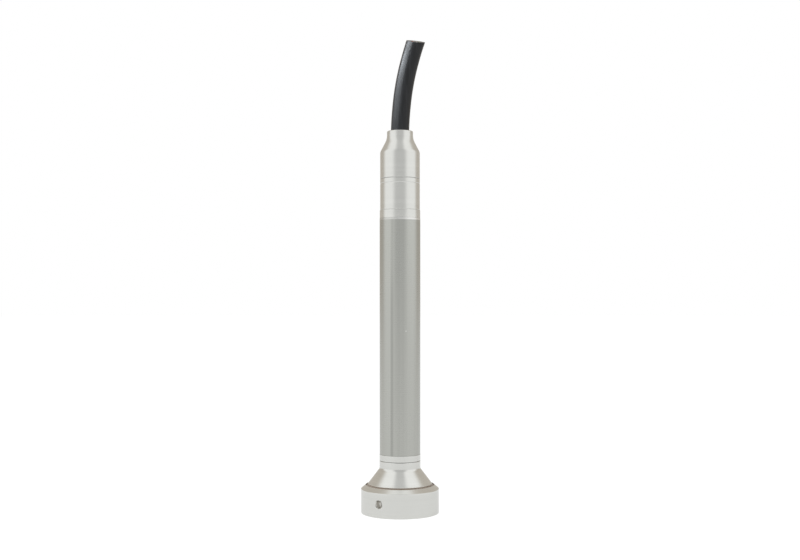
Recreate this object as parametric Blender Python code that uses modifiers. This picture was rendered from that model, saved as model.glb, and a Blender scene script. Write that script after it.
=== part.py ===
"""Submersible level transmitter with a wide pressure diaphragm behind a screwed guard ring.

Every piece is its own object, turned about the Z axis or placed inside the housing tube. The origin is the
centre of the guard ring's underside, +Z runs up the housing to the cable, and sizes are in metres.
"""

import math

import bmesh
import bpy
from mathutils import Matrix, Vector

# Clearances and edges
SEAT_GAP = 0.0003
SPIGOT_CLEARANCE = 0.0004
EDGE_BREAK = 0.0003

# Guard ring
RING_DIAMETER = 0.0408
RING_WALL = 0.0036
RING_TOP_LAND = 0.0002
RING_CHAMFER_HEIGHT = 0.0020
RING_COUNTERBORE_DEPTH = 0.0023
LIP_HEIGHT = 0.0042
MOUTH_CHAMFER = 0.0006
SPANNER_HOLE_DIAMETER = 0.0042
SPANNER_HOLE_FLOOR = 0.0008
SPANNER_HOLE_HEIGHT = 0.0070
SPANNER_HOLE_COUNT = 2
SPANNER_HOLE_AZIMUTH = math.radians(237.5)

# Diaphragm stack, clamped by the guard ring's lip
RIM_WIDTH = 0.0027
SLIP_RING_THICKNESS = 0.0010
RIM_THICKNESS = 0.0012
FOIL_THICKNESS = 0.0003
CORRUGATION_COUNT = 3
CORRUGATION_HEIGHT = 0.0005
CORRUGATION_PITCH = 0.0026
CORRUGATION_BORDER = 0.0013
FACE_SEAL_SECTION = 0.0012

# Bell, the flared body that carries the sensor cell
SPIGOT_LENGTH = 0.0053
SHOULDER_STEP = 0.0010
SHOULDER_HEIGHT = 0.0017
CONE_HEIGHT = 0.0088
CONE_UNDERCUT_HEIGHT = 0.0008
CONE_UNDERCUT_DEPTH = 0.0013
NECK_DIAMETER = 0.0215
NECK_FILLET_RADIUS = 0.0022
NECK_HEIGHT = 0.0040
NECK_WALL = 0.00245
NECK_THREAD_DEPTH = 0.0061
DISH_LAND = 0.0017
DISH_DEPTH = 0.0007
PASSAGE_DIAMETER = 0.0024
FILL_PORT_DIAMETER = 0.0030
FILL_PORT_DEPTH = 0.0071
FILL_DRILLING_DIAMETER = 0.0012
FILL_SOCKET_DEPTH = 0.0013
FILL_SOCKET_SHARE = 0.55

# Sensor cell and what sits on it
CELL_DIAMETER = 0.0150
CELL_HEIGHT = 0.0055
CELL_RECESS_DEPTH = 0.0005
CELL_LIP_WIDTH = 0.0014
CELL_LIP_HEIGHT = 0.0008
CELL_SEAL_SECTION = 0.0013
PIN_COUNT = 8
PIN_DIAMETER = 0.0006
PIN_HEIGHT = 0.0040
PIN_CIRCLE_DIAMETER = 0.0076
REFERENCE_TUBE_DIAMETER = 0.0018
REFERENCE_TUBE_HEIGHT = 0.0024
CLAMP_RING_THICKNESS = 0.0016
CLAMP_RING_WIDTH = 0.0020
CLAMP_SLOT_WIDTH = 0.0016
CLAMP_SLOT_DEPTH = 0.0007
CERAMIC_DIAMETER = 0.0104
CERAMIC_THICKNESS = 0.0008

# Housing tube and the two adaptors that close it
TUBE_DIAMETER = 0.0213
TUBE_WALL = 0.00165
TUBE_LENGTH = 0.1232
COLLAR_HEIGHT = 0.0030
ADAPTOR_BORE_DIAMETER = 0.0116
TUBE_SPIGOT_LENGTH = 0.0100
TUBE_SEAL_SECTION = 0.0016
TUBE_SEAL_FROM_FLANGE = 0.0045
THREAD_SEAL_SECTION = 0.0013
UPPER_FLANGE_DIAMETER = 0.02115
UPPER_FLANGE_HEIGHT = 0.0039

# Cable gland
GLAND_DIAMETER = 0.02075
GLAND_WALL = 0.0020
GLAND_BODY_HEIGHT = 0.0162
GLAND_THREAD_DEPTH = 0.0050
GLAND_SPIGOT_LENGTH = 0.0064
GLAND_SPIGOT_WALL = 0.0011
CORE_BORE_DIAMETER = 0.0080
CORE_BORE_LENGTH = 0.0069
WITNESS_GROOVE_WIDTH = 0.0004
WITNESS_GROOVE_DEPTH = 0.00015
WITNESS_GROOVE_FROM_TOP = 0.0022
CRIMP_HEIGHT = 0.0040
GROMMET_BODY_HEIGHT = 0.0064
GROMMET_TAPER_HEIGHT = 0.0030
GROMMET_TAPER_STEP = 0.0008
WASHER_THICKNESS = 0.0010
NOSE_BARREL_HEIGHT = 0.0131
NOSE_TAPER_ANGLE = math.radians(27.5)
NOSE_SHOULDER_RADIUS = 0.0030
NOSE_HOLLOW_RADIUS = 0.0080
NOSE_LAND_HEIGHT = 0.0022
NOSE_RIM_DIAMETER = 0.0136
NOSE_RIM_RADIUS = 0.0005

# Cable. It stands straight in the gland, then runs through (sideways, above the nose's mouth) to its cut end.
CABLE_DIAMETER = 0.0096
CABLE_ROUTE = [
    (0.0, 0.0), (0.0006, 0.0105), (0.0018, 0.0210), (0.0038, 0.0315), (0.0066, 0.0420), (0.0083, 0.0472),
]
CABLE_POINTS_IN_GLAND = 3
CABLE_STEP = 0.0060
WIRE_STEP = 0.0035
VENT_TUBE_STEP = 0.0050
CORE_DIAMETER = 0.0013
CORE_SPACING = 0.0024
CORE_CIRCLE_SHARE = 0.85
VENT_TUBE_DIAMETER = 0.0022
VENT_TUBE_WALL = 0.0004
VENT_TUBE_LENGTH = 0.0215
LEAD_DIAMETER = 0.0008
LEAD_SPACING = 0.0019
LEAD_CIRCLE_DIAMETER = 0.0068

# Circuit board and its carriers
BOARD_WIDTH = 0.0150
BOARD_THICKNESS = 0.0016
CARRIER_THICKNESS = 0.0050
CARRIER_SLOT_DEPTH = 0.0030
WINDOW_WIDTH = 0.0084
WINDOW_DEPTH = 0.0030
WIRE_OFFSET = 0.0046
CONNECTOR_SIZE = (0.0090, 0.0055, 0.0050)
TERMINAL_SIZE = (0.0094, 0.0058, 0.0067)
WIRE_ENTRY_DEPTH = 0.0025
CHIP_THICKNESS = 0.0016
CHIP_WIDTH = 0.0039
CHIP_LEAD_PITCH = 0.00127
CHIP_LEAD_REACH = 0.0010
CHIP_LEAD_SIZE = 0.0004
AMPLIFIER_LENGTH = 0.0050
AMPLIFIER_LEADS_A_SIDE = 4
DRIVER_LENGTH = 0.0088
DRIVER_LEADS_A_SIDE = 7
TRIMMER_SIZE = (0.0048, 0.0036, 0.0045)
TRIMMER_SCREW_DIAMETER = 0.0022
TRIMMER_SCREW_HEIGHT = 0.0005
TRIMMER_SLOT_WIDTH = 0.0005
CAPACITOR_DIAMETER = 0.0050
CAPACITOR_HEIGHT = 0.0055
CAPACITOR_GROOVE = 0.0003
ARRESTOR_DIAMETER = 0.0054
ARRESTOR_LENGTH = 0.0060
ARRESTOR_CAP_LENGTH = 0.0012
ARRESTOR_CAP_STEP = 0.0003
ARRESTOR_SPACING = 0.0068
CHOKE_DIAMETER = 0.0050
CHOKE_HEIGHT = 0.0045
CHOKE_FLANGE = 0.0009
CHOKE_WAIST_STEP = 0.0008
TRANSISTOR_SIZE = (0.0066, 0.0022, 0.0060)
TRANSISTOR_TAB = (0.0054, 0.0006, 0.0016)
PASSIVE_SIZE = (0.0020, 0.0006, 0.0012)
PASSIVE_COUNT = 6
PASSIVE_COLUMN = 0.0052

# Facets
OUTER_SEGMENTS = 28
INNER_SEGMENTS = 24
SEAL_SEGMENTS = 24
SEAL_SIDES = 6
SMALL_SEGMENTS = 12
ARC_STEPS = 3
SMOOTH_ANGLE = math.radians(32)

# Radii and heights that follow from the sizes above, from the guard ring up
RING_RADIUS = RING_DIAMETER / 2
RING_BORE = RING_RADIUS - RING_WALL
MOUTH_RADIUS = RING_BORE - RIM_WIDTH
CLAMPED_RADIUS = RING_BORE - SEAT_GAP
COUNTERBORE = RING_BORE + SHOULDER_STEP
SLIP_RING_Z = LIP_HEIGHT + SEAT_GAP
RIM_Z = SLIP_RING_Z + SLIP_RING_THICKNESS + SEAT_GAP
FACE_Z = RIM_Z + RIM_THICKNESS + SEAT_GAP
FACE_SEAL_CENTRE = MOUTH_RADIUS + SEAT_GAP + FACE_SEAL_SECTION / 2
SHOULDER_Z = FACE_Z + SPIGOT_LENGTH
RING_TOP_Z = SHOULDER_Z - SEAT_GAP + RING_COUNTERBORE_DEPTH
CONE_Z = SHOULDER_Z + SHOULDER_HEIGHT
NECK_Z = CONE_Z + CONE_HEIGHT
NECK_TOP_Z = NECK_Z + NECK_HEIGHT
NECK_RADIUS = NECK_DIAMETER / 2
NECK_BORE = NECK_RADIUS - NECK_WALL
CELL_TOP_Z = NECK_TOP_Z - NECK_THREAD_DEPTH
CELL_Z = CELL_TOP_Z - CELL_HEIGHT
CELL_RADIUS = CELL_DIAMETER / 2
HEADER_Z = CELL_TOP_Z - CELL_LIP_HEIGHT
PIN_TOP_Z = HEADER_Z + PIN_HEIGHT
CERAMIC_Z = PIN_TOP_Z + SEAT_GAP
CLAMP_RING_Z = CELL_TOP_Z + SEAT_GAP
CLAMP_RING_TOP_Z = CLAMP_RING_Z + CLAMP_RING_THICKNESS
COLLAR_Z = NECK_TOP_Z + SEAT_GAP
COLLAR_TOP_Z = COLLAR_Z + COLLAR_HEIGHT
ADAPTOR_BORE = ADAPTOR_BORE_DIAMETER / 2
TUBE_RADIUS = TUBE_DIAMETER / 2
TUBE_BORE = TUBE_RADIUS - TUBE_WALL
TUBE_Z = COLLAR_TOP_Z + SEAT_GAP
TUBE_TOP_Z = TUBE_Z + TUBE_LENGTH
UPPER_FLANGE_Z = TUBE_TOP_Z + SEAT_GAP
UPPER_FLANGE_TOP_Z = UPPER_FLANGE_Z + UPPER_FLANGE_HEIGHT
GLAND_Z = UPPER_FLANGE_TOP_Z + SEAT_GAP
GLAND_TOP_Z = GLAND_Z + GLAND_BODY_HEIGHT
GLAND_RADIUS = GLAND_DIAMETER / 2
GLAND_BORE = GLAND_RADIUS - GLAND_WALL
GLAND_SPIGOT_RADIUS = GLAND_BORE - SEAT_GAP
GLAND_SPIGOT_TOP_Z = GLAND_TOP_Z + GLAND_SPIGOT_LENGTH
STUFFING_BORE = GLAND_SPIGOT_RADIUS - GLAND_SPIGOT_WALL
CORE_BORE_Z = GLAND_Z + GLAND_THREAD_DEPTH
STUFFING_Z = CORE_BORE_Z + CORE_BORE_LENGTH
PACKING_RADIUS = STUFFING_BORE - SEAT_GAP
CABLE_RADIUS = CABLE_DIAMETER / 2
CABLE_BORE = CABLE_RADIUS + SEAT_GAP
CRIMP_Z = STUFFING_Z + SEAT_GAP
GROMMET_Z = CRIMP_Z + CRIMP_HEIGHT + SEAT_GAP
GROMMET_TOP_Z = GROMMET_Z + GROMMET_BODY_HEIGHT + GROMMET_TAPER_HEIGHT
WASHER_Z = GROMMET_TOP_Z + SEAT_GAP
NOSE_CEILING_Z = WASHER_Z + WASHER_THICKNESS + SEAT_GAP
NOSE_Z = GLAND_TOP_Z + SEAT_GAP
NOSE_RIM = NOSE_RIM_DIAMETER / 2
NOSE_TAPER_LENGTH = (
    GLAND_RADIUS - NOSE_RIM
    - (NOSE_SHOULDER_RADIUS + NOSE_HOLLOW_RADIUS) * (1 - math.cos(NOSE_TAPER_ANGLE))
) / math.sin(NOSE_TAPER_ANGLE)
NOSE_TAPER_HEIGHT = (
    (NOSE_SHOULDER_RADIUS + NOSE_HOLLOW_RADIUS) * math.sin(NOSE_TAPER_ANGLE)
    + NOSE_TAPER_LENGTH * math.cos(NOSE_TAPER_ANGLE)
)
NOSE_TOP_Z = NOSE_Z + NOSE_BARREL_HEIGHT + NOSE_TAPER_HEIGHT + NOSE_LAND_HEIGHT
LOWER_SPIGOT_END_Z = COLLAR_TOP_Z + TUBE_SPIGOT_LENGTH
UPPER_SPIGOT_END_Z = UPPER_FLANGE_Z - TUBE_SPIGOT_LENGTH
LOWER_CARRIER_Z = LOWER_SPIGOT_END_Z + SEAT_GAP
UPPER_CARRIER_Z = UPPER_SPIGOT_END_Z - SEAT_GAP - CARRIER_THICKNESS
LOWER_CARRIER_TOP_Z = LOWER_CARRIER_Z + CARRIER_THICKNESS
BOARD_Z = LOWER_CARRIER_TOP_Z - CARRIER_SLOT_DEPTH + SEAT_GAP
BOARD_TOP_Z = UPPER_CARRIER_Z + CARRIER_SLOT_DEPTH - SEAT_GAP
BOARD_FACE = BOARD_THICKNESS / 2


def new_collection(name, parent=None):
    made = bpy.data.collections.new(name)
    (parent or bpy.context.scene.collection).children.link(made)
    return made


def clear_scene():
    for obj in list(bpy.data.objects):
        bpy.data.objects.remove(obj)


def material(name, colour, roughness, metallic=0.0):
    made = bpy.data.materials.new(name)
    made.use_nodes = True
    shader = made.node_tree.nodes["Principled BSDF"]
    shader.inputs["Base Color"].default_value = (*colour, 1.0)
    shader.inputs["Roughness"].default_value = roughness
    shader.inputs["Metallic"].default_value = metallic
    made.diffuse_color = (*colour, 1.0)
    return made


def to_collection(obj, target):
    for owner in list(obj.users_collection):
        owner.objects.unlink(obj)
    target.objects.link(obj)


def as_part(obj, name, finish):
    """Names a finished object, gives it its material and hangs it on the assembly."""
    obj.name = name
    obj.data.name = name
    obj.data.materials.clear()
    obj.data.materials.append(finish)
    to_collection(obj, PARTS)
    obj.parent = ASSEMBLY
    return obj


def as_cutter(obj, name):
    obj.name = name
    obj.hide_render = True
    obj.display_type = "WIRE"
    to_collection(obj, CUTTERS)
    return obj


def arc(centre, radius, start, end, steps=ARC_STEPS):
    """Points along an arc in the turning profile, from one angle to another, in radians."""
    return [
        (
            centre[0] + radius * math.cos(start + (end - start) * i / steps),
            centre[1] + radius * math.sin(start + (end - start) * i / steps),
        )
        for i in range(steps + 1)
    ]


def turned(name, profile, finish, segments=OUTER_SEGMENTS):
    """A profile of (radius, height), down the outer side and up the inner one, turned about Z."""
    on_axis = profile[0][0] == 0
    mesh = bpy.data.meshes.new(name)
    count = len(profile)
    edges = [(i, (i + 1) % count) for i in range(count - 1 if on_axis else count)]
    mesh.from_pydata([(radius, 0, height) for radius, height in profile], edges, [])
    obj = bpy.data.objects.new(name, mesh)
    PARTS.objects.link(obj)
    screw = obj.modifiers.new("turning", "SCREW")
    screw.axis = "Z"
    screw.steps = screw.render_steps = segments
    screw.use_merge_vertices = on_axis
    screw.merge_threshold = 0.00001
    return as_part(obj, name, finish)


def seal_ring(name, centre_radius, section, z, finish):
    bpy.ops.mesh.primitive_torus_add(
        major_radius=centre_radius, minor_radius=section / 2,
        major_segments=SEAL_SEGMENTS, minor_segments=SEAL_SIDES, location=(0, 0, z),
    )
    return as_part(bpy.context.object, name, finish)


def block(size, centre):
    bpy.ops.mesh.primitive_cube_add(size=1, location=centre)
    obj = bpy.context.object
    obj.scale = size
    bpy.ops.object.transform_apply(location=False, rotation=False, scale=True)
    return obj


def cylinder(radius, height, centre, axis="Z", segments=SMALL_SEGMENTS):
    turn = {"X": (0, math.pi / 2, 0), "Y": (math.pi / 2, 0, 0), "Z": (0, 0, 0)}[axis]
    bpy.ops.mesh.primitive_cylinder_add(
        vertices=segments, radius=radius, depth=height, location=centre, rotation=turn
    )
    return bpy.context.object


def joined(objects):
    """Separate closed shapes as the islands of one object, for one Boolean."""
    bpy.ops.object.select_all(action="DESELECT")
    for obj in objects:
        obj.select_set(True)
    bpy.context.view_layer.objects.active = objects[0]
    if len(objects) > 1:
        bpy.ops.object.join()
    return objects[0]


def boolean(obj, tools, operation, label):
    tool = as_cutter(joined(tools), f"{obj.name}_{label}")
    modifier = obj.modifiers.new(label, "BOOLEAN")
    modifier.operation = operation
    modifier.solver = "EXACT"
    modifier.object = tool


def cut(obj, tools, label="cutter"):
    boolean(obj, tools, "DIFFERENCE", label)


def add_on(obj, tools, label="addition"):
    boolean(obj, tools, "UNION", label)


def smooth_route(points, step):
    """Points read at an even step from a smooth curve through the given ones."""
    ends = [points[0] * 2 - points[1], *points, points[-1] * 2 - points[-2]]
    fine = []
    for a, b, c, d in zip(ends, ends[1:], ends[2:], ends[3:]):
        for t in (i / 12 for i in range(12)):
            fine.append(
                0.5 * (2 * b + (c - a) * t + (2 * a - 5 * b + 4 * c - d) * t**2
                       + (3 * b - a - 3 * c + d) * t**3)
            )
    fine.append(points[-1])
    length = sum((q - p).length for p, q in zip(fine, fine[1:]))
    count = max(2, round(length / step))
    route, gone, wanted = [fine[0]], 0.0, length / count
    for p, q in zip(fine, fine[1:]):
        span = (q - p).length
        while len(route) < count and gone + span >= wanted:
            route.append(p.lerp(q, (wanted - gone) / span))
            wanted += length / count
        gone += span
    return [*route, fine[-1]]


def wire(name, points, diameter, finish, step, sides_level=2, open_ends=False):
    """A cord, core or lead: a round section run along a smooth route."""
    curve = bpy.data.curves.new(name, "CURVE")
    curve.dimensions = "3D"
    curve.bevel_depth = diameter / 2
    curve.bevel_resolution = sides_level
    curve.use_fill_caps = not open_ends
    route = smooth_route([Vector(p) for p in points], step)
    spline = curve.splines.new("POLY")
    spline.points.add(len(route) - 1)
    for point, place in zip(spline.points, route):
        point.co = (*place, 1)
    obj = bpy.data.objects.new(name, curve)
    PARTS.objects.link(obj)
    return as_part(obj, name, finish)


def as_mesh(obj):
    """The object with its curve or modifiers settled into a mesh, smooth except at its sharp edges."""
    bpy.context.view_layer.update()
    settled = obj.evaluated_get(bpy.context.evaluated_depsgraph_get())
    mesh = bpy.data.meshes.new_from_object(settled)
    if obj.type == "MESH":
        obj.modifiers.clear()
        obj.data = mesh
        made = obj
    else:
        made = bpy.data.objects.new(obj.name, mesh)
        made.matrix_world = obj.matrix_world
        PARTS.objects.link(made)
        name, finish = obj.name, obj.data.materials[0]
        bpy.data.objects.remove(obj)
        as_part(made, name, finish)
    weld = bmesh.new()
    weld.from_mesh(made.data)
    bmesh.ops.remove_doubles(weld, verts=weld.verts, dist=0.000002)
    weld.to_mesh(made.data)
    weld.free()
    made.data.shade_smooth()
    made.data.set_sharp_from_angle(angle=SMOOTH_ANGLE)
    return made


def make_guard_ring():
    ring = turned(
        "guard_ring",
        [
            (COUNTERBORE + RING_TOP_LAND, RING_TOP_Z),
            (RING_RADIUS, RING_TOP_Z - RING_CHAMFER_HEIGHT),
            (RING_RADIUS, EDGE_BREAK),
            (RING_RADIUS - EDGE_BREAK, 0),
            (MOUTH_RADIUS + MOUTH_CHAMFER, 0),
            (MOUTH_RADIUS, MOUTH_CHAMFER),
            (MOUTH_RADIUS, LIP_HEIGHT),
            (RING_BORE, LIP_HEIGHT),
            (RING_BORE, SHOULDER_Z - SEAT_GAP),
            (COUNTERBORE, SHOULDER_Z - SEAT_GAP),
            (COUNTERBORE, RING_TOP_Z),
        ],
        STEEL,
    )
    holes = []
    depth = RING_WALL - SPANNER_HOLE_FLOOR
    for i in range(SPANNER_HOLE_COUNT):
        turn = SPANNER_HOLE_AZIMUTH + i * math.tau / SPANNER_HOLE_COUNT
        reach = RING_RADIUS - depth + RING_WALL / 2
        hole = cylinder(SPANNER_HOLE_DIAMETER / 2, RING_WALL, (reach, 0, SPANNER_HOLE_HEIGHT), "X", 16)
        hole.matrix_world = Matrix.Rotation(turn, 4, "Z") @ hole.matrix_world
        holes.append(hole)
    cut(ring, holes, "spanner_holes")


def make_diaphragm_stack():
    turned(
        "slip_ring",
        [
            (CLAMPED_RADIUS, SLIP_RING_Z + SLIP_RING_THICKNESS),
            (CLAMPED_RADIUS, SLIP_RING_Z),
            (MOUTH_RADIUS, SLIP_RING_Z),
            (MOUTH_RADIUS, SLIP_RING_Z + SLIP_RING_THICKNESS),
        ],
        SLIP_PLASTIC, INNER_SEGMENTS,
    )
    middle = RIM_Z + RIM_THICKNESS / 2
    start = MOUTH_RADIUS - CORRUGATION_BORDER
    crests = [
        (start - (i + 0.5) * CORRUGATION_PITCH / 2, (-1) ** i * CORRUGATION_HEIGHT / 2)
        for i in range(2 * CORRUGATION_COUNT)
    ]
    waves = [(start, 0), *crests, (start - CORRUGATION_COUNT * CORRUGATION_PITCH, 0)]
    half = FOIL_THICKNESS / 2
    upper = [(radius, middle + half + rise) for radius, rise in waves]
    lower = [(radius, middle - half + rise) for radius, rise in waves]
    turned(
        "diaphragm",
        [
            (0, middle + half),
            *reversed(upper),
            (MOUTH_RADIUS, middle + half),
            (MOUTH_RADIUS, RIM_Z + RIM_THICKNESS),
            (CLAMPED_RADIUS, RIM_Z + RIM_THICKNESS),
            (CLAMPED_RADIUS, RIM_Z),
            (MOUTH_RADIUS, RIM_Z),
            (MOUTH_RADIUS, middle - half),
            *lower,
            (0, middle - half),
        ],
        FOIL, INNER_SEGMENTS,
    )
    seal_ring(
        "face_seal", FACE_SEAL_CENTRE, FACE_SEAL_SECTION,
        FACE_Z + FACE_SEAL_SECTION / 2, RUBBER,
    )


def make_bell():
    shoulder = COUNTERBORE - SEAT_GAP
    slope = math.atan2(shoulder - NECK_RADIUS, CONE_HEIGHT)
    fillet_rise = NECK_FILLET_RADIUS * math.tan(slope / 2)
    fillet = arc(
        (NECK_RADIUS + NECK_FILLET_RADIUS, NECK_Z + fillet_rise), NECK_FILLET_RADIUS, math.pi, math.pi + slope
    )
    groove_half = FACE_SEAL_SECTION / 2 + SEAT_GAP
    groove_top = FACE_Z + FACE_SEAL_SECTION + SEAT_GAP
    pocket = CELL_RADIUS + SEAT_GAP
    passage = PASSAGE_DIAMETER / 2
    dish = MOUTH_RADIUS - DISH_LAND
    bell = turned(
        "bell",
        [
            (NECK_RADIUS - EDGE_BREAK, NECK_TOP_Z),
            (NECK_RADIUS, NECK_TOP_Z - EDGE_BREAK),
            *fillet,
            (shoulder - CONE_UNDERCUT_HEIGHT * math.tan(slope), CONE_Z + CONE_UNDERCUT_HEIGHT),
            (shoulder - CONE_UNDERCUT_DEPTH, CONE_Z + CONE_UNDERCUT_HEIGHT),
            (shoulder - CONE_UNDERCUT_DEPTH, CONE_Z),
            (shoulder, CONE_Z),
            (shoulder, SHOULDER_Z),
            (CLAMPED_RADIUS, SHOULDER_Z),
            (CLAMPED_RADIUS, FACE_Z),
            (FACE_SEAL_CENTRE + groove_half, FACE_Z),
            (FACE_SEAL_CENTRE + groove_half, groove_top),
            (FACE_SEAL_CENTRE - groove_half, groove_top),
            (FACE_SEAL_CENTRE - groove_half, FACE_Z),
            (dish, FACE_Z),
            (dish - DISH_DEPTH, FACE_Z + DISH_DEPTH),
            (passage, FACE_Z + DISH_DEPTH),
            (passage, CELL_Z - SEAT_GAP),
            (pocket, CELL_Z - SEAT_GAP),
            (pocket, CELL_TOP_Z),
            (NECK_BORE, CELL_TOP_Z),
            (NECK_BORE, NECK_TOP_Z),
        ],
        STEEL,
    )
    port_z = SHOULDER_Z - FILL_PORT_DIAMETER / 2
    port_end = CLAMPED_RADIUS - FILL_PORT_DEPTH
    overrun = RING_WALL
    port = cylinder(
        FILL_PORT_DIAMETER / 2, FILL_PORT_DEPTH + overrun,
        (port_end + (FILL_PORT_DEPTH + overrun) / 2, 0, port_z), "X",
    )
    drilling = cylinder(FILL_DRILLING_DIAMETER / 2, port_end + passage, ((port_end + passage) / 2, 0, port_z), "X", 8)
    cut(bell, [port], "fill_port")
    cut(bell, [drilling], "fill_drilling")
    ball_radius = FILL_PORT_DIAMETER / 2 - SEAT_GAP
    bpy.ops.mesh.primitive_uv_sphere_add(
        segments=SMALL_SEGMENTS, ring_count=8, radius=ball_radius,
        location=(port_end + SEAT_GAP + ball_radius, 0, port_z),
    )
    as_part(bpy.context.object, "fill_ball", POLISHED_STEEL)
    screw_start = port_end + 2 * SEAT_GAP + 2 * ball_radius
    screw_length = CLAMPED_RADIUS - EDGE_BREAK - screw_start
    screw = cylinder(ball_radius, screw_length, (screw_start + screw_length / 2, 0, port_z), "X")
    as_part(screw, "fill_screw", POLISHED_STEEL)
    socket_reach = screw_start + screw_length - FILL_SOCKET_DEPTH / 2 + EDGE_BREAK
    socket = cylinder(ball_radius * FILL_SOCKET_SHARE, FILL_SOCKET_DEPTH + 2 * EDGE_BREAK, (socket_reach, 0, port_z), "X", 6)
    cut(screw, [socket], "hex_socket")


def make_sensor():
    seal_centre = CELL_RADIUS - CELL_SEAL_SECTION / 2
    groove_floor = seal_centre - CELL_SEAL_SECTION / 2 - SEAT_GAP
    groove_half = CELL_SEAL_SECTION / 2 + SEAT_GAP
    middle = CELL_Z + CELL_HEIGHT / 2
    lip_inner = CELL_RADIUS - CELL_LIP_WIDTH
    cell = turned(
        "sensor_cell",
        [
            (0, HEADER_Z),
            (lip_inner, HEADER_Z),
            (lip_inner, CELL_TOP_Z),
            (CELL_RADIUS, CELL_TOP_Z),
            (CELL_RADIUS, middle + groove_half),
            (groove_floor, middle + groove_half),
            (groove_floor, middle - groove_half),
            (CELL_RADIUS, middle - groove_half),
            (CELL_RADIUS, CELL_Z),
            (lip_inner, CELL_Z),
            (lip_inner - CELL_RECESS_DEPTH, CELL_Z + CELL_RECESS_DEPTH),
            (0, CELL_Z + CELL_RECESS_DEPTH),
        ],
        POLISHED_STEEL, INNER_SEGMENTS,
    )
    pins = []
    buried = CELL_LIP_HEIGHT
    for i in range(PIN_COUNT):
        turn = (i + 0.5) * math.tau / PIN_COUNT
        x, y = (PIN_CIRCLE_DIAMETER / 2 * f(turn) for f in (math.cos, math.sin))
        pins.append(
            cylinder(PIN_DIAMETER / 2, PIN_HEIGHT + buried, (x, y, HEADER_Z + (PIN_HEIGHT - buried) / 2), "Z", 6)
        )
    pins.append(
        cylinder(
            REFERENCE_TUBE_DIAMETER / 2, REFERENCE_TUBE_HEIGHT + buried,
            (0, 0, HEADER_Z + (REFERENCE_TUBE_HEIGHT - buried) / 2), "Z", 8,
        )
    )
    add_on(cell, pins, "header_pins")
    seal_ring("cell_seal", seal_centre, CELL_SEAL_SECTION, middle, RUBBER)
    outer = NECK_BORE - SEAT_GAP
    clamp = turned(
        "clamp_ring",
        [
            (outer, CLAMP_RING_TOP_Z),
            (outer, CLAMP_RING_Z),
            (outer - CLAMP_RING_WIDTH, CLAMP_RING_Z),
            (outer - CLAMP_RING_WIDTH, CLAMP_RING_TOP_Z),
        ],
        BRASS, INNER_SEGMENTS,
    )
    slot = block(
        (4 * outer, CLAMP_SLOT_WIDTH, 2 * CLAMP_SLOT_DEPTH), (0, 0, CLAMP_RING_TOP_Z)
    )
    cut(clamp, [slot], "spanner_slot")
    ceramic = cylinder(
        CERAMIC_DIAMETER / 2, CERAMIC_THICKNESS, (0, 0, CERAMIC_Z + CERAMIC_THICKNESS / 2), "Z", INNER_SEGMENTS
    )
    as_part(ceramic, "ceramic_board", CERAMIC)


def tube_spigot(flange_z, way):
    """Profile points of the sealed spigot inside the tube, from its free end to the flange.
    way is 1 for a spigot that stands up from the flange and -1 for one that hangs from it."""
    radius = TUBE_BORE - SPIGOT_CLEARANCE
    floor = TUBE_BORE - TUBE_SEAL_SECTION - 2 * SEAT_GAP
    half = TUBE_SEAL_SECTION / 2 + SEAT_GAP
    seal_z = flange_z + way * TUBE_SEAL_FROM_FLANGE
    return [
        (radius - EDGE_BREAK, flange_z + way * TUBE_SPIGOT_LENGTH),
        (radius, flange_z + way * (TUBE_SPIGOT_LENGTH - EDGE_BREAK)),
        (radius, seal_z + way * half),
        (floor, seal_z + way * half),
        (floor, seal_z - way * half),
        (radius, seal_z - way * half),
        (radius, flange_z),
    ]


def thread_spigot(bore, flange_z, end_z):
    """Profile points of a threaded spigot with its seal groove, from the flange to its free end."""
    radius = bore - SEAT_GAP
    way = 1 if end_z > flange_z else -1
    floor = bore - THREAD_SEAL_SECTION - 2 * SEAT_GAP
    width = THREAD_SEAL_SECTION + 2 * SEAT_GAP
    return [
        (radius, flange_z),
        (radius, flange_z + way * SEAT_GAP),
        (floor, flange_z + way * SEAT_GAP),
        (floor, flange_z + way * (SEAT_GAP + width)),
        (radius, flange_z + way * (SEAT_GAP + width)),
        (radius, end_z),
    ]


def thread_seal(name, bore, flange_z, way):
    centre = bore - SEAT_GAP - THREAD_SEAL_SECTION / 2
    seal_ring(
        name, centre, THREAD_SEAL_SECTION, flange_z + way * (2 * SEAT_GAP + THREAD_SEAL_SECTION / 2), RUBBER
    )


def tube_seal(name, flange_z, way):
    centre = TUBE_BORE - SEAT_GAP - TUBE_SEAL_SECTION / 2
    seal_ring(name, centre, TUBE_SEAL_SECTION, flange_z + way * TUBE_SEAL_FROM_FLANGE, RUBBER)


def make_lower_collar():
    lower_end = CLAMP_RING_TOP_Z + SEAT_GAP
    turned(
        "lower_collar",
        [
            *tube_spigot(COLLAR_TOP_Z, 1),
            (NECK_RADIUS, COLLAR_TOP_Z),
            (NECK_RADIUS, COLLAR_Z),
            *thread_spigot(NECK_BORE, COLLAR_Z, lower_end),
            (ADAPTOR_BORE, lower_end),
            (ADAPTOR_BORE, LOWER_SPIGOT_END_Z),
        ],
        STEEL,
    )
    thread_seal("neck_seal", NECK_BORE, COLLAR_Z, -1)
    tube_seal("lower_tube_seal", COLLAR_TOP_Z, 1)


def make_tube():
    turned(
        "housing_tube",
        [
            (TUBE_RADIUS - EDGE_BREAK / 2, TUBE_TOP_Z),
            (TUBE_RADIUS, TUBE_TOP_Z - EDGE_BREAK / 2),
            (TUBE_RADIUS, TUBE_Z + EDGE_BREAK / 2),
            (TUBE_RADIUS - EDGE_BREAK / 2, TUBE_Z),
            (TUBE_BORE, TUBE_Z),
            (TUBE_BORE, TUBE_TOP_Z),
        ],
        GROUND_STEEL,
    )


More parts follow.
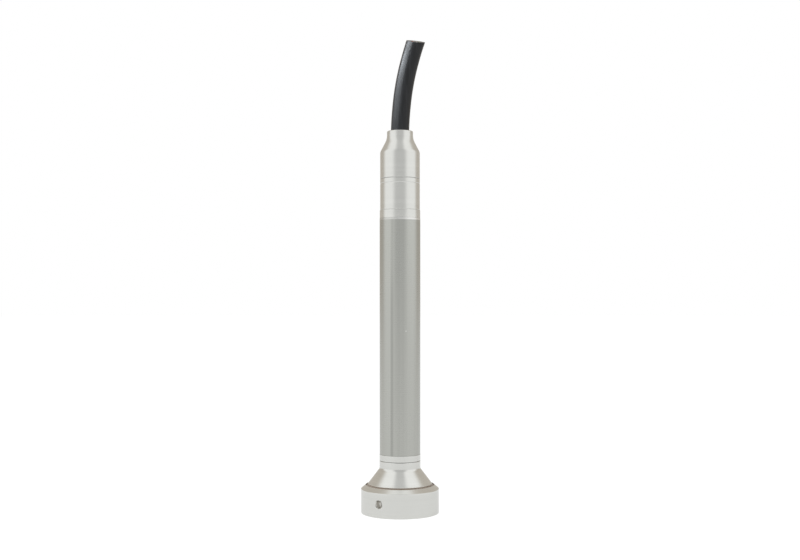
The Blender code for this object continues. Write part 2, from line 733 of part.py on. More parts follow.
def make_upper_adaptor():
    radius = UPPER_FLANGE_DIAMETER / 2
    upper_end = CORE_BORE_Z - SEAT_GAP
    turned(
        "upper_adaptor",
        [
            *reversed(thread_spigot(GLAND_BORE, UPPER_FLANGE_TOP_Z, upper_end)),
            (radius - EDGE_BREAK, UPPER_FLANGE_TOP_Z),
            (radius, UPPER_FLANGE_TOP_Z - EDGE_BREAK),
            (radius, UPPER_FLANGE_Z),
            *reversed(tube_spigot(UPPER_FLANGE_Z, -1)),
            (ADAPTOR_BORE, UPPER_SPIGOT_END_Z),
            (ADAPTOR_BORE, upper_end),
        ],
        STEEL,
    )
    thread_seal("adaptor_seal", GLAND_BORE, UPPER_FLANGE_TOP_Z, 1)
    tube_seal("upper_tube_seal", UPPER_FLANGE_Z, -1)


def make_gland_body():
    groove_z = GLAND_TOP_Z - WITNESS_GROOVE_FROM_TOP
    core_bore = CORE_BORE_DIAMETER / 2
    turned(
        "gland_body",
        [
            (GLAND_SPIGOT_RADIUS, GLAND_SPIGOT_TOP_Z),
            (GLAND_SPIGOT_RADIUS, GLAND_TOP_Z),
            (GLAND_RADIUS - EDGE_BREAK, GLAND_TOP_Z),
            (GLAND_RADIUS, GLAND_TOP_Z - EDGE_BREAK),
            (GLAND_RADIUS, groove_z),
            (GLAND_RADIUS - WITNESS_GROOVE_DEPTH, groove_z - WITNESS_GROOVE_WIDTH / 2),
            (GLAND_RADIUS, groove_z - WITNESS_GROOVE_WIDTH),
            (GLAND_RADIUS, GLAND_Z + EDGE_BREAK),
            (GLAND_RADIUS - EDGE_BREAK, GLAND_Z),
            (GLAND_BORE, GLAND_Z),
            (GLAND_BORE, CORE_BORE_Z),
            (core_bore, CORE_BORE_Z),
            (core_bore, STUFFING_Z),
            (STUFFING_BORE, STUFFING_Z),
            (STUFFING_BORE, GLAND_SPIGOT_TOP_Z),
        ],
        STEEL,
    )


def make_gland_packing():
    turned(
        "strain_crimp",
        [
            (PACKING_RADIUS, CRIMP_Z + CRIMP_HEIGHT),
            (PACKING_RADIUS, CRIMP_Z),
            (CABLE_BORE, CRIMP_Z),
            (CABLE_BORE, CRIMP_Z + CRIMP_HEIGHT),
        ],
        POLISHED_STEEL, INNER_SEGMENTS,
    )
    turned(
        "seal_grommet",
        [
            (PACKING_RADIUS - GROMMET_TAPER_STEP, GROMMET_TOP_Z),
            (PACKING_RADIUS, GROMMET_TOP_Z - GROMMET_TAPER_HEIGHT),
            (PACKING_RADIUS, GROMMET_Z),
            (CABLE_BORE, GROMMET_Z),
            (CABLE_BORE, GROMMET_TOP_Z),
        ],
        RUBBER, INNER_SEGMENTS,
    )
    turned(
        "grommet_washer",
        [
            (PACKING_RADIUS, WASHER_Z + WASHER_THICKNESS),
            (PACKING_RADIUS, WASHER_Z),
            (CABLE_BORE, WASHER_Z),
            (CABLE_BORE, WASHER_Z + WASHER_THICKNESS),
        ],
        BRASS, INNER_SEGMENTS,
    )


def make_nose():
    shoulder_z = NOSE_Z + NOSE_BARREL_HEIGHT
    land_z = NOSE_TOP_Z - NOSE_LAND_HEIGHT
    rim = arc(
        (NOSE_RIM - NOSE_RIM_RADIUS, NOSE_TOP_Z - NOSE_RIM_RADIUS), NOSE_RIM_RADIUS, math.pi / 2, 0, 2
    )
    hollow = arc(
        (NOSE_RIM + NOSE_HOLLOW_RADIUS, land_z), NOSE_HOLLOW_RADIUS, math.pi, math.pi + NOSE_TAPER_ANGLE
    )
    shoulder = arc(
        (GLAND_RADIUS - NOSE_SHOULDER_RADIUS, shoulder_z), NOSE_SHOULDER_RADIUS, NOSE_TAPER_ANGLE, 0
    )
    thread_end = GLAND_SPIGOT_TOP_Z + SEAT_GAP
    turned(
        "nose_cap",
        [
            *rim,
            *hollow,
            *shoulder,
            (GLAND_RADIUS, NOSE_Z + EDGE_BREAK),
            (GLAND_RADIUS - EDGE_BREAK, NOSE_Z),
            (GLAND_BORE, NOSE_Z),
            (GLAND_BORE, thread_end),
            (STUFFING_BORE, thread_end),
            (STUFFING_BORE, NOSE_CEILING_Z),
            (CABLE_BORE, NOSE_CEILING_Z),
            (CABLE_BORE, NOSE_TOP_Z),
        ],
        STEEL,
    )


def make_cable():
    start_z = STUFFING_Z + SEAT_GAP
    spacing = (NOSE_TOP_Z - start_z) / CABLE_POINTS_IN_GLAND
    inside = [(0, 0, start_z + i * spacing) for i in range(CABLE_POINTS_IN_GLAND)]
    outside = [(sideways, 0, NOSE_TOP_Z + above) for sideways, above in CABLE_ROUTE]
    as_mesh(wire("cable", inside + outside, CABLE_DIAMETER, JACKET, CABLE_STEP, 4))


def core_route(turn, sideways, end_z):
    """From under the jacket's end, round the vent tube, through the carrier window and into the block."""
    ring = (CORE_BORE_DIAMETER / 2 - SEAT_GAP - CORE_DIAMETER / 2) * CORE_CIRCLE_SHARE
    x, y = ring * math.cos(turn), ring * math.sin(turn)
    bend_z = UPPER_SPIGOT_END_Z + TUBE_SPIGOT_LENGTH
    window_z = UPPER_CARRIER_Z + CARRIER_THICKNESS
    return [
        (x, y, STUFFING_Z),
        (x, y, CORE_BORE_Z),
        ((x + sideways) / 2, (y + WIRE_OFFSET) / 2 + ring / 4, bend_z),
        (sideways, WIRE_OFFSET, window_z + SEAT_GAP),
        (sideways, WIRE_OFFSET, UPPER_CARRIER_Z - SEAT_GAP),
        (sideways, WIRE_OFFSET, end_z),
    ]


def make_cores(block_top_z):
    finishes = {"core_supply": RED_PLASTIC, "core_return": BLACK_PLASTIC, "core_earth": GREEN_PLASTIC}
    for i, (name, finish) in enumerate(finishes.items()):
        turn = math.radians(150 - 60 * i)
        end_z = block_top_z - WIRE_ENTRY_DEPTH + SEAT_GAP
        route = core_route(turn, (i - 1) * CORE_SPACING, end_z)
        as_mesh(wire(name, route, CORE_DIAMETER, finish, WIRE_STEP, 1))
    tube = wire(
        "vent_tube",
        [(0, -CORE_BORE_DIAMETER / 4, STUFFING_Z - i * VENT_TUBE_LENGTH / 3) for i in range(4)],
        VENT_TUBE_DIAMETER, CLEAR_PLASTIC, VENT_TUBE_STEP, 2, open_ends=True,
    )
    tube = as_mesh(tube)
    wall = tube.modifiers.new("wall", "SOLIDIFY")
    wall.thickness = VENT_TUBE_WALL
    wall.offset = -1
    as_mesh(tube)


def make_leads(connector_z):
    """The four leads from the ceramic board on the cell up to the board's lower connector."""
    for i, finish in enumerate((RED_PLASTIC, BLACK_PLASTIC, GREEN_PLASTIC, WHITE_PLASTIC)):
        turn = math.radians(153 - 42 * i)
        ring = LEAD_CIRCLE_DIAMETER / 2
        x, y = ring * math.cos(turn), ring * math.sin(turn)
        sideways = (i - 1.5) * LEAD_SPACING
        start_z = CERAMIC_Z + CERAMIC_THICKNESS + SEAT_GAP
        route = [
            (x, y, start_z),
            (x, y, start_z + COLLAR_HEIGHT),
            (sideways, WIRE_OFFSET, LOWER_CARRIER_Z - SEAT_GAP),
            (sideways, WIRE_OFFSET, LOWER_CARRIER_TOP_Z + SEAT_GAP),
            (sideways, WIRE_OFFSET, connector_z + WIRE_ENTRY_DEPTH - SEAT_GAP),
        ]
        as_mesh(wire(f"sensor_lead_{i + 1}", route, LEAD_DIAMETER, finish, WIRE_STEP, 1))


def make_carrier(name, base_z, slot_z):
    """A disc that fits the tube, with a slot for the board's end and a window for the wires."""
    radius = TUBE_BORE - SEAT_GAP
    carrier = as_part(
        cylinder(radius, CARRIER_THICKNESS, (0, 0, base_z + CARRIER_THICKNESS / 2), "Z", INNER_SEGMENTS),
        name, CARRIER_PLASTIC,
    )
    slot = block(
        (BOARD_WIDTH + 2 * SEAT_GAP, BOARD_THICKNESS + 2 * SEAT_GAP, 2 * CARRIER_SLOT_DEPTH), (0, 0, slot_z)
    )
    window = block((WINDOW_WIDTH, WINDOW_DEPTH, 2 * CARRIER_THICKNESS), (0, WIRE_OFFSET, base_z))
    window.location.z += CARRIER_THICKNESS / 2
    cut(carrier, [slot], "board_slot")
    cut(carrier, [window], "wire_window")


def make_board():
    length = BOARD_TOP_Z - BOARD_Z
    centre_z = (BOARD_TOP_Z + BOARD_Z) / 2
    board = as_part(
        block((BOARD_WIDTH, BOARD_THICKNESS, length), (0, 0, centre_z)), "circuit_board", BOARD_GREEN
    )
    passives = []
    free = length - 2 * CARRIER_SLOT_DEPTH
    for i in range(PASSIVE_COUNT):
        z = BOARD_Z + CARRIER_SLOT_DEPTH + free * (i + 0.5) / PASSIVE_COUNT
        for side in (-1, 1):
            y = -BOARD_FACE - PASSIVE_SIZE[1] / 2 + SEAT_GAP / 2
            passives.append(block(PASSIVE_SIZE, (side * PASSIVE_COLUMN, y, z)))
    add_on(board, passives, "chip_passives")


def wire_block(name, size, z, wires, spacing, hole, entry, finish):
    """A block on the board's face with blind wire entries. entry is 1 for the top face, -1 for the bottom."""
    y = BOARD_FACE + SEAT_GAP + size[1] / 2
    made = as_part(block(size, (0, y, z)), name, finish)
    face_z = z + entry * size[2] / 2
    holes = [
        cylinder(hole / 2, 2 * WIRE_ENTRY_DEPTH, ((i - (wires - 1) / 2) * spacing, WIRE_OFFSET, face_z), "Z", 8)
        for i in range(wires)
    ]
    cut(made, holes, "wire_entries")


def make_chip(name, length, leads_a_side, z):
    y = BOARD_FACE + CHIP_LEAD_SIZE + SEAT_GAP + CHIP_THICKNESS / 2
    chip = as_part(block((CHIP_WIDTH, CHIP_THICKNESS, length), (0, y, z)), name, CHIP_PLASTIC)
    leads = []
    for i in range(leads_a_side):
        lead_z = z + (i - (leads_a_side - 1) / 2) * CHIP_LEAD_PITCH
        for side in (-1, 1):
            reach = CHIP_WIDTH / 2 + CHIP_LEAD_REACH
            foot_y = BOARD_FACE + SEAT_GAP + CHIP_LEAD_SIZE
            leads.append(
                block((2 * CHIP_LEAD_REACH, 2 * CHIP_LEAD_SIZE, CHIP_LEAD_SIZE),
                      (side * reach - side * CHIP_LEAD_REACH / 2, foot_y, lead_z))
            )
    add_on(chip, leads, "leads")


def make_trimmer(name, z):
    y = BOARD_FACE + SEAT_GAP + TRIMMER_SIZE[1] / 2
    trimmer = as_part(block(TRIMMER_SIZE, (0, y, z)), name, TRIMMER_BLUE)
    top = BOARD_FACE + SEAT_GAP + TRIMMER_SIZE[1]
    screw = cylinder(TRIMMER_SCREW_DIAMETER / 2, 2 * TRIMMER_SCREW_HEIGHT, (0, top, z), "Y", 10)
    add_on(trimmer, [screw], "screw")
    slot = block((TRIMMER_SCREW_DIAMETER * 2, TRIMMER_SCREW_HEIGHT, TRIMMER_SLOT_WIDTH), (0, 0, 0))
    slot.location = (0, top + TRIMMER_SCREW_HEIGHT, z)
    cut(trimmer, [slot], "screw_slot")


def make_capacitor(name, z):
    """A can on its end on the board, with the rolled groove near its foot."""
    radius = CAPACITOR_DIAMETER / 2
    foot = BOARD_FACE + SEAT_GAP
    can = turned(
        name,
        [
            (0, foot + CAPACITOR_HEIGHT),
            (radius - CAPACITOR_GROOVE, foot + CAPACITOR_HEIGHT),
            (radius, foot + CAPACITOR_HEIGHT - CAPACITOR_GROOVE),
            (radius, foot + 4 * CAPACITOR_GROOVE),
            (radius - CAPACITOR_GROOVE, foot + 3 * CAPACITOR_GROOVE),
            (radius, foot + 2 * CAPACITOR_GROOVE),
            (radius, foot),
            (0, foot),
        ],
        CAN_METAL, 16,
    )
    can.matrix_world = Matrix.Translation((0, 0, z)) @ Matrix.Rotation(-math.pi / 2, 4, "X")


def make_arrestor(name, sideways, z):
    """A gas discharge tube lying along the board: a ceramic barrel between two metal end caps."""
    radius = ARRESTOR_DIAMETER / 2
    half = ARRESTOR_LENGTH / 2
    barrel = half - ARRESTOR_CAP_LENGTH
    tube = turned(
        name,
        [
            (0, half),
            (radius, half),
            (radius, barrel),
            (radius - ARRESTOR_CAP_STEP, barrel),
            (radius - ARRESTOR_CAP_STEP, -barrel),
            (radius, -barrel),
            (radius, -half),
            (0, -half),
        ],
        ARRESTOR_FINISH, 16,
    )
    tube.location = (sideways, BOARD_FACE + SEAT_GAP + radius, z)


def make_choke(name, z):
    radius = CHOKE_DIAMETER / 2
    foot = BOARD_FACE + SEAT_GAP
    drum = turned(
        name,
        [
            (0, foot + CHOKE_HEIGHT),
            (radius, foot + CHOKE_HEIGHT),
            (radius, foot + CHOKE_HEIGHT - CHOKE_FLANGE),
            (radius - CHOKE_WAIST_STEP, foot + CHOKE_HEIGHT - CHOKE_FLANGE),
            (radius - CHOKE_WAIST_STEP, foot + CHOKE_FLANGE),
            (radius, foot + CHOKE_FLANGE),
            (radius, foot),
            (0, foot),
        ],
        FERRITE, 16,
    )
    drum.matrix_world = Matrix.Translation((0, 0, z)) @ Matrix.Rotation(-math.pi / 2, 4, "X")


def make_transistor(z):
    """The pass transistor on the board's back, with its soldered tab."""
    y = -BOARD_FACE - SEAT_GAP - TRANSISTOR_SIZE[1] / 2
    body = as_part(block(TRANSISTOR_SIZE, (0, y, z)), "pass_transistor", CHIP_PLASTIC)
    tab_y = -BOARD_FACE - SEAT_GAP - TRANSISTOR_TAB[1] / 2
    tab_size = (TRANSISTOR_TAB[0], TRANSISTOR_TAB[1], 2 * TRANSISTOR_TAB[2])
    add_on(body, [block(tab_size, (0, tab_y, z + TRANSISTOR_SIZE[2] / 2))], "tab")


def stations(lengths):
    """Centre heights that spread pieces of these lengths along the open part of the board."""
    low = LOWER_CARRIER_TOP_Z + SEAT_GAP
    high = UPPER_CARRIER_Z - SEAT_GAP
    gap = (high - low - sum(lengths)) / (len(lengths) + 1)
    centres, z = [], low
    for length in lengths:
        centres.append(z + gap + length / 2)
        z += gap + length
    return centres


def make_electronics():
    make_carrier("lower_carrier", LOWER_CARRIER_Z, LOWER_CARRIER_TOP_Z)
    make_carrier("upper_carrier", UPPER_CARRIER_Z, UPPER_CARRIER_Z)
    make_board()
    lengths = [
        CONNECTOR_SIZE[2], AMPLIFIER_LENGTH, TRIMMER_SIZE[2], TRIMMER_SIZE[2], DRIVER_LENGTH,
        CAPACITOR_DIAMETER, ARRESTOR_LENGTH, CHOKE_DIAMETER, TERMINAL_SIZE[2],
    ]
    connector, amplifier, zero, span, driver, capacitor, arrestors, choke, terminal = stations(lengths)
    lead_hole = LEAD_DIAMETER + 2 * SEAT_GAP
    core_hole = CORE_DIAMETER + 2 * SEAT_GAP
    wire_block("sensor_connector", CONNECTOR_SIZE, connector, 4, LEAD_SPACING, lead_hole, -1, WHITE_PLASTIC)
    wire_block("terminal_block", TERMINAL_SIZE, terminal, 3, CORE_SPACING, core_hole, 1, GREEN_PLASTIC)
    make_chip("amplifier", AMPLIFIER_LENGTH, AMPLIFIER_LEADS_A_SIDE, amplifier)
    make_chip("loop_driver", DRIVER_LENGTH, DRIVER_LEADS_A_SIDE, driver)
    make_trimmer("zero_trimmer", zero)
    make_trimmer("span_trimmer", span)
    make_capacitor("capacitor", capacitor)
    for i, side in enumerate((-1, 1)):
        make_arrestor(f"surge_arrestor_{i + 1}", side * ARRESTOR_SPACING / 2, arrestors)
    make_choke("choke", choke)
    make_transistor(driver)
    make_leads(connector - CONNECTOR_SIZE[2] / 2)
    make_cores(terminal + TERMINAL_SIZE[2] / 2)


clear_scene()
CUTTERS = new_collection("cutters")
PARTS = new_collection("submersible_level_transmitter")
ASSEMBLY = bpy.data.objects.new("transmitter", None)
PARTS.objects.link(ASSEMBLY)

STEEL = material("machined stainless steel", (0.72, 0.71, 0.68), 0.28, 1.0)
GROUND_STEEL = material("ground stainless tube", (0.60, 0.60, 0.57), 0.38, 1.0)
POLISHED_STEEL = material("polished stainless steel", (0.76, 0.76, 0.75), 0.15, 1.0)
FOIL = material("diaphragm foil", (0.74, 0.74, 0.72), 0.20, 1.0)
BRASS = material("brass", (0.75, 0.58, 0.30), 0.30, 1.0)
RUBBER = material("seal rubber", (0.02, 0.02, 0.02), 0.60)
JACKET = material("cable jacket", (0.03, 0.03, 0.035), 0.42)
SLIP_PLASTIC = material("white slip plastic", (0.80, 0.79, 0.76), 0.45)
CERAMIC = material("alumina ceramic", (0.85, 0.84, 0.80), 0.55)
CARRIER_PLASTIC = material("carrier plastic", (0.12, 0.12, 0.13), 0.50)
BOARD_GREEN = material("circuit board", (0.02, 0.17, 0.07), 0.35)
CHIP_PLASTIC = material("chip moulding", (0.03, 0.03, 0.03), 0.55)
TRIMMER_BLUE = material("trimmer housing", (0.03, 0.10, 0.45), 0.40)
CAN_METAL = material("capacitor can", (0.70, 0.70, 0.72), 0.30, 1.0)
ARRESTOR_FINISH = material("arrestor ceramic", (0.80, 0.78, 0.76), 0.35)
FERRITE = material("ferrite", (0.05, 0.05, 0.055), 0.60)
WHITE_PLASTIC = material("white plastic", (0.80, 0.80, 0.78), 0.45)
RED_PLASTIC = material("red insulation", (0.55, 0.03, 0.03), 0.45)
BLACK_PLASTIC = material("black insulation", (0.02, 0.02, 0.02), 0.45)
GREEN_PLASTIC = material("green insulation", (0.03, 0.30, 0.08), 0.45)
CLEAR_PLASTIC = material("vent tube nylon", (0.75, 0.75, 0.70), 0.35)

make_guard_ring()
make_diaphragm_stack()
make_bell()
make_sensor()
make_lower_collar()
make_tube()
make_upper_adaptor()
make_gland_body()
make_gland_packing()
make_nose()
make_cable()
make_electronics()

for part in [obj for obj in PARTS.objects if obj.type == "MESH"]:
    as_mesh(part)
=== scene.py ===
"""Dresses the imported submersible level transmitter: fine pieces, cable, finishes and a plain studio."""

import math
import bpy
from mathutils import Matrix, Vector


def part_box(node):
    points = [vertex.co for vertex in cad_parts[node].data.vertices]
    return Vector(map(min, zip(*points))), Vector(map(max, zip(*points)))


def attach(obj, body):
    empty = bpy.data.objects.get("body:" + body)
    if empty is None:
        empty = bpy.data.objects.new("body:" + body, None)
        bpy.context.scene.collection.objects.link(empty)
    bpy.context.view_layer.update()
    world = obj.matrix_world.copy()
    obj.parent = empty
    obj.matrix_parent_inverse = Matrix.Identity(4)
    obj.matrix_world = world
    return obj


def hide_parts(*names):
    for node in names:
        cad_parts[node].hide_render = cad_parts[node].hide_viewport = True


bl_info = {
    "name": "Submersible Level Transmitter",
    "version": (1, 0, 0),
    "blender": (4, 5, 0),
    "location": "View3D > Sidebar > Transmitter",
    "description": "Builds the finished pieces of a submersible level transmitter round its packed model",
    "category": "Object",
}

from functools import cache, partial

import bmesh
import bpy
from bpy.props import FloatProperty, FloatVectorProperty, IntProperty, PointerProperty
from mathutils import Matrix, Vector

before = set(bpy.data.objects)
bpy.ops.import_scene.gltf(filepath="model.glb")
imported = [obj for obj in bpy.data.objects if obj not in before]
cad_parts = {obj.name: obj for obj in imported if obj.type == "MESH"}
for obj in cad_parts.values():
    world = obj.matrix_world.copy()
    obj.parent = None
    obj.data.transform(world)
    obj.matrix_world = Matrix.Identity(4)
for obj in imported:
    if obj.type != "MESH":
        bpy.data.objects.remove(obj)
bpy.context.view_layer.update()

WELD = 1e-6
NEAR = 2e-5
SHARP_ANGLE = math.radians(34)
BEVEL_ANGLE = math.radians(25)
FLAT_ANGLE = math.radians(0.5)
LARGEST_BREAK = 0.00031

TUBE_FOOT, TUBE_TOP = (corner[2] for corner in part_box("housing_tube"))
GLAND_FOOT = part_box("gland_body")[0][2]
NOSE_FOOT, NOSE_TOP = (corner[2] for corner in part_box("nose_cap"))
NECK_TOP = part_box("bell")[1][2]
RING_RADIUS, _, RING_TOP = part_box("guard_ring")[1]
RING_INNER_EDGE = 0.0178
CONE_FOOT = RING_TOP + 0.0005
SEAT_GAP = 0.0003


def length_property(name, description, default):
    return FloatProperty(name=name, description=description, default=default, unit="LENGTH")


def angle_property(name, description, degrees):
    return FloatProperty(name=name, description=description, default=math.radians(degrees), subtype="ANGLE")


def colour_property(name, description, default):
    return FloatVectorProperty(name=name, description=description, default=default, subtype="COLOR")


def power_property(name, description, default):
    return FloatProperty(name=name, description=description, default=default, unit="POWER")


class ProbeSizes(bpy.types.PropertyGroup):
    """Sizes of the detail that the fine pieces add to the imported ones."""

    segments: IntProperty(name="Facets", description="Facets round a turned piece", default=144, min=24)
    edge: length_property("Edge", "Rounding of a turned edge", 0.00012)
    open_seam: length_property("Open seam", "Hairline at the joints that are undone for service", 0.00016)
    tight_seam: length_property("Tight seam", "Hairline at the joints that stay closed", 0.00003)
    hole_diameter: length_property("Spanner hole", "Diameter of a spanner hole in the guard ring", 0.0042)
    hole_depth: length_property("Spanner hole depth", "Depth of a spanner hole to its full diameter", 0.0023)
    hole_height: length_property("Spanner hole height", "Height of a hole over the ring's foot", 0.0070)
    hole_turn: angle_property("Spanner hole turn", "Direction of the first spanner hole, from +X", 237.5)
    foil: length_property("Foil", "Thickness of the diaphragm's foil", 0.00022)
    foil_rim: length_property("Foil rim", "Width of the welded rim round the diaphragm", 0.0024)
    foil_border: length_property("Foil border", "Flat foil between the rim and the first corrugation", 0.0013)
    waves: IntProperty(name="Corrugations", description="Corrugations of the diaphragm", default=3, min=1)
    wave_pitch: length_property("Corrugation pitch", "Distance between crests of the diaphragm", 0.0026)
    wave_height: length_property("Corrugation height", "Height of a corrugation from trough to crest", 0.0005)
    cable_diameter: length_property("Cable", "Outer diameter of the cable", 0.0096)
    jacket: length_property("Jacket", "Wall of the cable's jacket", 0.0013)
    recess: length_property("Recess", "Depth of the cable's filler below the jacket's cut edge", 0.0005)
    cut_tilt: angle_property("Cut tilt", "Slope of the cable's cut end towards the side it leans to", 6.5)
    cut_lean: angle_property("Cut lean", "Slope of the cable's cut end towards the front", 17)


class ProbeFinishes(bpy.types.PropertyGroup):
    """Colours of the finishes, as linear values."""

    steel: colour_property("Steel", "Fine turned stainless steel", (0.79, 0.795, 0.762))
    tube: colour_property("Tube", "Satin ground housing tube", (0.555, 0.563, 0.527))
    jacket: colour_property("Jacket", "Cable jacket", (0.012, 0.0125, 0.0135))
    brass: colour_property("Brass", "Turned brass", (0.72, 0.54, 0.25))


class ProbeStudio(bpy.types.PropertyGroup):
    """The camera and the lamps."""

    distance: length_property("Distance", "Camera's distance from the probe's axis", 0.597)
    height: length_property("Height", "Camera's height over the guard ring's underside", 0.1128)
    lens: FloatProperty(name="Lens", description="Focal length in millimetres", default=51.2)
    shift: FloatProperty(name="Shift", description="Vertical shift of the frame", default=0.0213)
    key: power_property("Key lamp", "Power of the large lamp at the left", 3.4)
    fill: power_property("Fill lamp", "Power of the lamp at the right", 1.2)
    strip: power_property("Strip lamp", "Power of the lamp that lights the cable's left side alone", 7.2)


class Wire:
    """An output in a shader graph. Python's operators on it add Math nodes."""

    def __init__(self, graph, node, output=0):
        self.graph = graph
        self.node = node
        self.socket = node.outputs[output]

    def out(self, name):
        return Wire(self.graph, self.node, name)

    def __add__(self, other):
        return self.graph.math("ADD", self, other)

    def __radd__(self, other):
        return self.graph.math("ADD", other, self)

    def __sub__(self, other):
        return self.graph.math("SUBTRACT", self, other)

    def __rsub__(self, other):
        return self.graph.math("SUBTRACT", other, self)

    def __mul__(self, other):
        return self.graph.math("MULTIPLY", self, other)

    def __rmul__(self, other):
        return self.graph.math("MULTIPLY", other, self)

    def __truediv__(self, other):
        return self.graph.math("DIVIDE", self, other)

    def __lt__(self, other):
        return self.graph.math("LESS_THAN", self, other)

    def __gt__(self, other):
        return self.graph.math("GREATER_THAN", self, other)

    def __abs__(self):
        return self.graph.math("ABSOLUTE", self)


class Graph:
    """The nodes of one material, or of the world."""

    def __init__(self, tree):
        self.tree = tree
        tree.nodes.clear()

    def node(self, kind, settings=None, values=None, output=0):
        """Adds a node, applies its settings, then sets or links its inputs by name or number."""
        made = self.tree.nodes.new(kind)
        for name, setting in (settings or {}).items():
            setattr(made, name, setting)
        for name, value in (values or {}).items():
            if isinstance(value, Wire):
                self.tree.links.new(value.socket, made.inputs[name])
            else:
                made.inputs[name].default_value = value
        return Wire(self, made, output) if made.outputs else made

    def math(self, operation, *values):
        return self.node("ShaderNodeMath", {"operation": operation}, dict(enumerate(values)))

    def mix(self, factor, first, second):
        """A colour between two, by a factor."""
        colours = {6: first, 7: second}
        for index, colour in colours.items():
            if not isinstance(colour, Wire):
                colours[index] = (*colour, 1.0)
        return self.node("ShaderNodeMix", {"data_type": "RGBA"}, {0: factor, **colours}, 2)

    def span(self, value, low, high, to_low=0.0, to_high=1.0):
        """A value eased from one range to another, and held at its ends."""
        return self.node(
            "ShaderNodeMapRange", {"interpolation_type": "SMOOTHSTEP"},
            {"Value": value, "From Min": low, "From Max": high, "To Min": to_low, "To Max": to_high},
        )

    def place(self):
        """The surface point in the object's own space, as three numbers."""
        point = self.node("ShaderNodeTexCoord").out("Object")
        parts = self.node("ShaderNodeSeparateXYZ", None, {"Vector": point})
        return parts, parts.out("Y"), parts.out("Z")

    def vector(self, x, y, z):
        return self.node("ShaderNodeCombineXYZ", None, {"X": x, "Y": y, "Z": z})

    def noise(self, vector, scale, detail):
        return self.node("ShaderNodeTexNoise", None, {"Vector": vector, "Scale": scale, "Detail": detail})

    def line_noise(self, along, scale, detail):
        """Noise that changes in one direction only."""
        values = {"W": along, "Scale": scale, "Detail": detail}
        return self.node("ShaderNodeTexNoise", {"noise_dimensions": "1D"}, values)

    def bump(self, height, strength, distance):
        values = {"Height": height, "Strength": strength, "Distance": distance}
        return self.node("ShaderNodeBump", None, values)

    def surface(self, **values):
        """The Principled shader. Its inputs are given in lower case with underscores."""
        named = {}
        for key, value in values.items():
            name = key.replace("_", " ").title().replace("Ior", "IOR")
            named[name] = (*value, 1.0) if isinstance(value, tuple) else value
        shader = self.node("ShaderNodeBsdfPrincipled", None, named)
        self.node("ShaderNodeOutputMaterial", None, {"Surface": shader})


def new_material(name, look):
    """A material with the given name and viewport colour, and an empty graph."""
    made = bpy.data.materials.new(name)
    made.use_nodes = True
    made.diffuse_color = (*look, 1.0)
    return made, Graph(made.node_tree)


def finishes():
    return bpy.context.scene.probe_finishes


def sizes():
    return bpy.context.scene.probe_sizes


def turning_marks(graph):
    """Height along the outline of a turned piece, so that marks run round it on walls, cones and faces."""
    x, y, z = graph.place()
    radius = graph.math("SQRT", x * x + y * y)
    return z + radius


def turned_steel(name, colour, roughness, marks, aniso, painted_shade=None):
    """Stainless steel from the lathe: fine marks round the piece and a highlight drawn out along it. A mask,
    when given, paints shade into hollows and crevices.
    """
    made, graph = new_material(name, colour)
    along = turning_marks(graph)
    fine = graph.line_noise(along, FINE_MARKS, 3.0)
    broad = graph.line_noise(along, BROAD_MARKS, 2.0)
    haze = graph.noise(graph.vector(*graph.place()), 90.0, 3.0)
    tone = 0.94 + 0.10 * fine * marks + 0.06 * (broad - 0.5)
    colour_out = graph.mix(tone, (0, 0, 0), colour)
    gloss = roughness + 0.06 * (haze - 0.5) + 0.08 * (broad - 0.5) * marks
    metal = 1.0
    # Painted shade: where the mask says, the steel turns a dull brown, less metallic and rougher.
    if painted_shade:
        shade_amount = painted_shade(graph)
        colour_out = graph.mix(shade_amount, colour_out, PAINTED_SHADE_COLOUR)
        gloss = gloss + 0.5 * shade_amount
        metal = 1.0 - shade_amount
    graph.surface(
        base_color=colour_out, metallic=metal, roughness=gloss,
        anisotropic=aniso, anisotropic_rotation=0.25,
        normal=graph.bump(fine, 0.10 * marks, 0.00006),
    )
    return made


def ring_painted_shade(graph):
    """Painted shade in the guard ring's spanner holes, and along its top inner edge where it meets the bell's
    cone.
    """
    x, y, z = graph.place()
    own = sizes()
    radius = graph.math("SQRT", x * x + y * y)
    across = x * -math.sin(own.hole_turn) + y * math.cos(own.hole_turn)
    rise = z - own.hole_height
    near = graph.math("SQRT", across * across + rise * rise)
    inside = 1.0 - graph.span(near, own.hole_diameter * 0.53, own.hole_diameter * 0.56)
    sunk = graph.span(radius, RING_RADIUS - 0.00010, RING_RADIUS - 0.00060)
    inner = 1.0 - graph.span(radius, RING_INNER_EDGE + 0.00005, RING_INNER_EDGE + 0.00055)
    rim = inner * (z > RING_TOP * 0.9)
    return graph.math("MAXIMUM", inside * sunk * 0.25, rim * 0.60)


def cone_painted_shade(graph):
    """Painted shade in a band at the foot of the bell's cone, over the guard ring, and in the crevice below
    the foot.
    """
    z = graph.place()[2]
    band = 1.0 - graph.span(z, CONE_FOOT - 0.00010, CONE_FOOT + 0.00060)
    return 0.35 * band + 0.62 * (z < CONE_FOOT)


# Guard ring steel, with painted shade in its spanner holes and along its inner top edge.
@cache
def ring_steel():
    return turned_steel("ring steel", tuple(finishes().steel), 0.16, 0.6, 0.55, ring_painted_shade)


# Bell steel, with painted shade at the cone's foot and in the crevice under it.
@cache
def bell_steel():
    return turned_steel("bell steel", tuple(finishes().steel), 0.20, 0.6, 0.50, cone_painted_shade)


@cache
def fitting_steel():
    return turned_steel("fitting steel", tuple(finishes().steel), 0.24, 0.35, 0.30)


